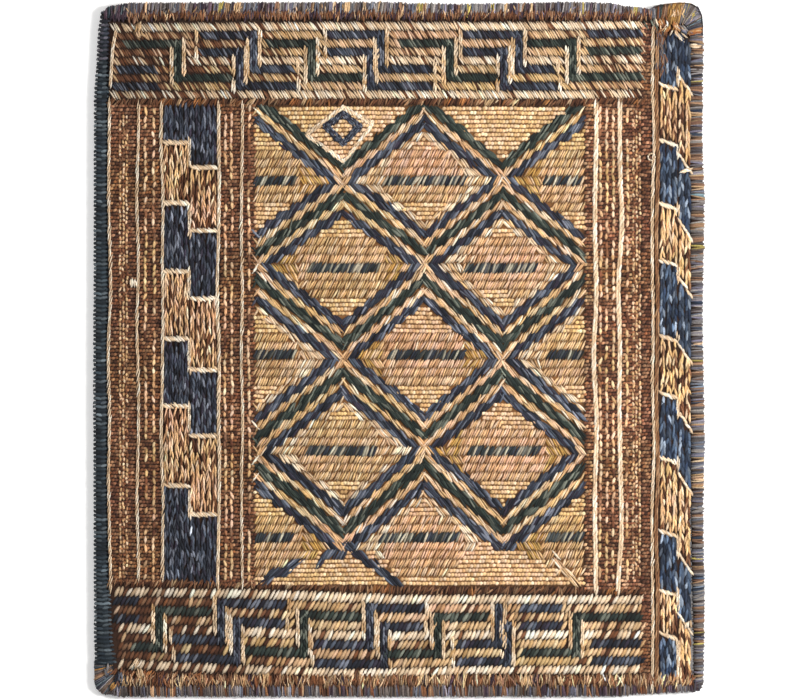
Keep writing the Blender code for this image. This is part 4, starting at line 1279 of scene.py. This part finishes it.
class SADDLEBAG_OT_loose_ends(bpy.types.Operator):
    """Leave the knots, the small loop and the tufts that stand on the face"""

    bl_idname = "saddlebag.loose_ends"
    bl_label = "Loose Ends"

    def execute(self, context):
        rng = np.random.default_rng(81)
        pile = YarnPile()
        rise = sizes().wrap_rise / MM
        theta = np.arange(8) / 8 * 2 * math.pi
        pile.lay(
            651.5 + 3.4 * np.cos(theta), 157 + 3.4 * np.sin(theta), 90 - np.degrees(theta), 3.6, 2.0, rise,
            pick(rng, "ivory", 8, 0.05), lift=1.0)
        for (p, q), angle, count, length, wool in TUFTS:
            spread = np.sqrt(count)
            pile.lay(
                rng.normal(p, 0.9 * spread, count), rng.normal(q, 0.5 * spread, count),
                rng.normal(angle, 14, count), length, 2.2, rise, pick(rng, wool, count, 0.1), lift=1.1,
                bow=rng.normal(0, 0.6, count))
        q = np.arange(34.0, 84.0, 5.5)
        for side in (-1, 1):
            pile.lay(
                np.interp(q, (34, 46, 84), (115, 112.4, 110)) + 0.6 * side, q + side, 80.0, 8.5, 1.9, rise,
                pick(rng, "ivory", len(q), 0.08), lift=0.9)
        finish_piece(pile.mesh("loose_ends"), [])
        return {"FINISHED"}


class SADDLEBAG_OT_stage(bpy.types.Operator):
    """Set the pale floor, the soft light and the camera above the face"""

    bl_idname = "saddlebag.stage"
    bl_label = "Studio Stage"

    def floor(self):
        mesh = bpy.data.meshes.new("studio_floor")
        half = 3.0
        corners = [(-half, -half, 0), (half, -half, 0), (half, half, 0), (-half, half, 0)]
        mesh.from_pydata(corners, [], [(0, 1, 2, 3)])
        floor = new_object("studio_floor", mesh)
        material = bpy.data.materials.new("studio_white")
        material.use_nodes = True
        nodes, links = material.node_tree.nodes, material.node_tree.links
        shader = nodes["Principled BSDF"]
        shader.inputs["Base Color"].default_value = (*colours().floor, 1.0)
        shader.inputs["Roughness"].default_value = 0.9
        shader.inputs["Emission Color"].default_value = (1.0, 1.0, 1.0, 1.0)
        path = nodes.new("ShaderNodeLightPath")
        gain = nodes.new("ShaderNodeMath")
        gain.operation = "MULTIPLY"
        gain.inputs[1].default_value = 0.2
        links.new(path.outputs["Is Camera Ray"], gain.inputs[0])
        links.new(gain.outputs["Value"], shader.inputs["Emission Strength"])
        mesh.materials.append(material)
        floor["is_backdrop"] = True

    def lights(self):
        for name, place, size, power in (
            ("key_light", (0.85, 0.1, 1.0), 0.35, 21.5),
            ("fill_light", (-0.5, 0.9, 1.3), 1.0, 7.0),
        ):
            lamp = bpy.data.lights.new(name, "AREA")
            lamp.energy = power
            lamp.size = size
            lamp.color = colours().light
            thing = new_object(name, lamp)
            thing.location = place
            x, y, z = place
            thing.rotation_euler = (math.atan2(math.hypot(x, y), z), 0.0, math.atan2(y, x) + math.pi / 2)
            thing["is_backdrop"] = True
        world = bpy.data.worlds.new("studio_air")
        world.use_nodes = True
        air = world.node_tree.nodes["Background"]
        air.inputs["Color"].default_value = (1.0, 1.0, 1.0, 1.0)
        air.inputs["Strength"].default_value = 0.42
        bpy.context.scene.world = world

    def camera(self):
        lens = bpy.data.cameras.new("catalogue_camera")
        lens.lens = 200.0
        lens.sensor_width = 36.0
        lens.sensor_fit = "HORIZONTAL"
        lens.clip_end = 20.0
        camera = new_object("catalogue_camera", lens)
        half = SHEET_WIDE / 2 * DIVISION
        camera.location = (0.5 * DIVISION, 0.0, half / (lens.sensor_width / 2 / lens.lens) + FACE_LEVEL)
        bpy.context.scene.camera = camera

    def execute(self, context):
        self.floor()
        self.lights()
        self.camera()
        bpy.context.scene.view_settings.view_transform = "Standard"
        return {"FINISHED"}


class SADDLEBAG_PT_panel(bpy.types.Panel):
    """Steps that weave the bag"""

    bl_label = "Saddle Bag"
    bl_idname = "SADDLEBAG_PT_panel"
    bl_space_type = "VIEW_3D"
    bl_region_type = "UI"
    bl_category = "Saddle Bag"

    def draw(self, context):
        for name in STEPS:
            self.layout.operator("saddlebag." + name)
        for label in ("cloth_thickness", "slack", "wrap_rise", "bead_rise"):
            self.layout.prop(context.scene.saddle_bag_sizes, label)


STEPS = (
    "stage", "cloths", "field", "borders", "blocks", "stripes", "selvedge", "overcasts", "corner",
    "loose_ends",
)
CLASSES = (
    SaddleBagSizes,
    SaddleBagColours,
    SADDLEBAG_OT_stage,
    SADDLEBAG_OT_cloths,
    SADDLEBAG_OT_field,
    SADDLEBAG_OT_borders,
    SADDLEBAG_OT_blocks,
    SADDLEBAG_OT_stripes,
    SADDLEBAG_OT_selvedge,
    SADDLEBAG_OT_overcasts,
    SADDLEBAG_OT_corner,
    SADDLEBAG_OT_loose_ends,
    SADDLEBAG_PT_panel,
)


def register():
    for kind in CLASSES:
        bpy.utils.register_class(kind)
    bpy.types.Scene.saddle_bag_sizes = bpy.props.PointerProperty(type=SaddleBagSizes)
    bpy.types.Scene.saddle_bag_colours = bpy.props.PointerProperty(type=SaddleBagColours)


def unregister():
    del bpy.types.Scene.saddle_bag_colours
    del bpy.types.Scene.saddle_bag_sizes
    for kind in reversed(CLASSES):
        bpy.utils.unregister_class(kind)


def plain(value):
    """Bounds as plain lists."""
    if isinstance(value, dict):
        return {key: plain(part) for key, part in value.items()}
    if hasattr(value, "__len__") and not isinstance(value, str):
        return [plain(part) for part in value]
    return float(value)


def main():
    register()
    for name in STEPS:
        result = getattr(bpy.ops.saddlebag, name)()
        if "FINISHED" not in result:
            raise RuntimeError(f"the step {name} didn't finish")
    {"start": plain(START_BOUNDS), "end": plain(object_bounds())}


if __name__ == "__main__":
    main()
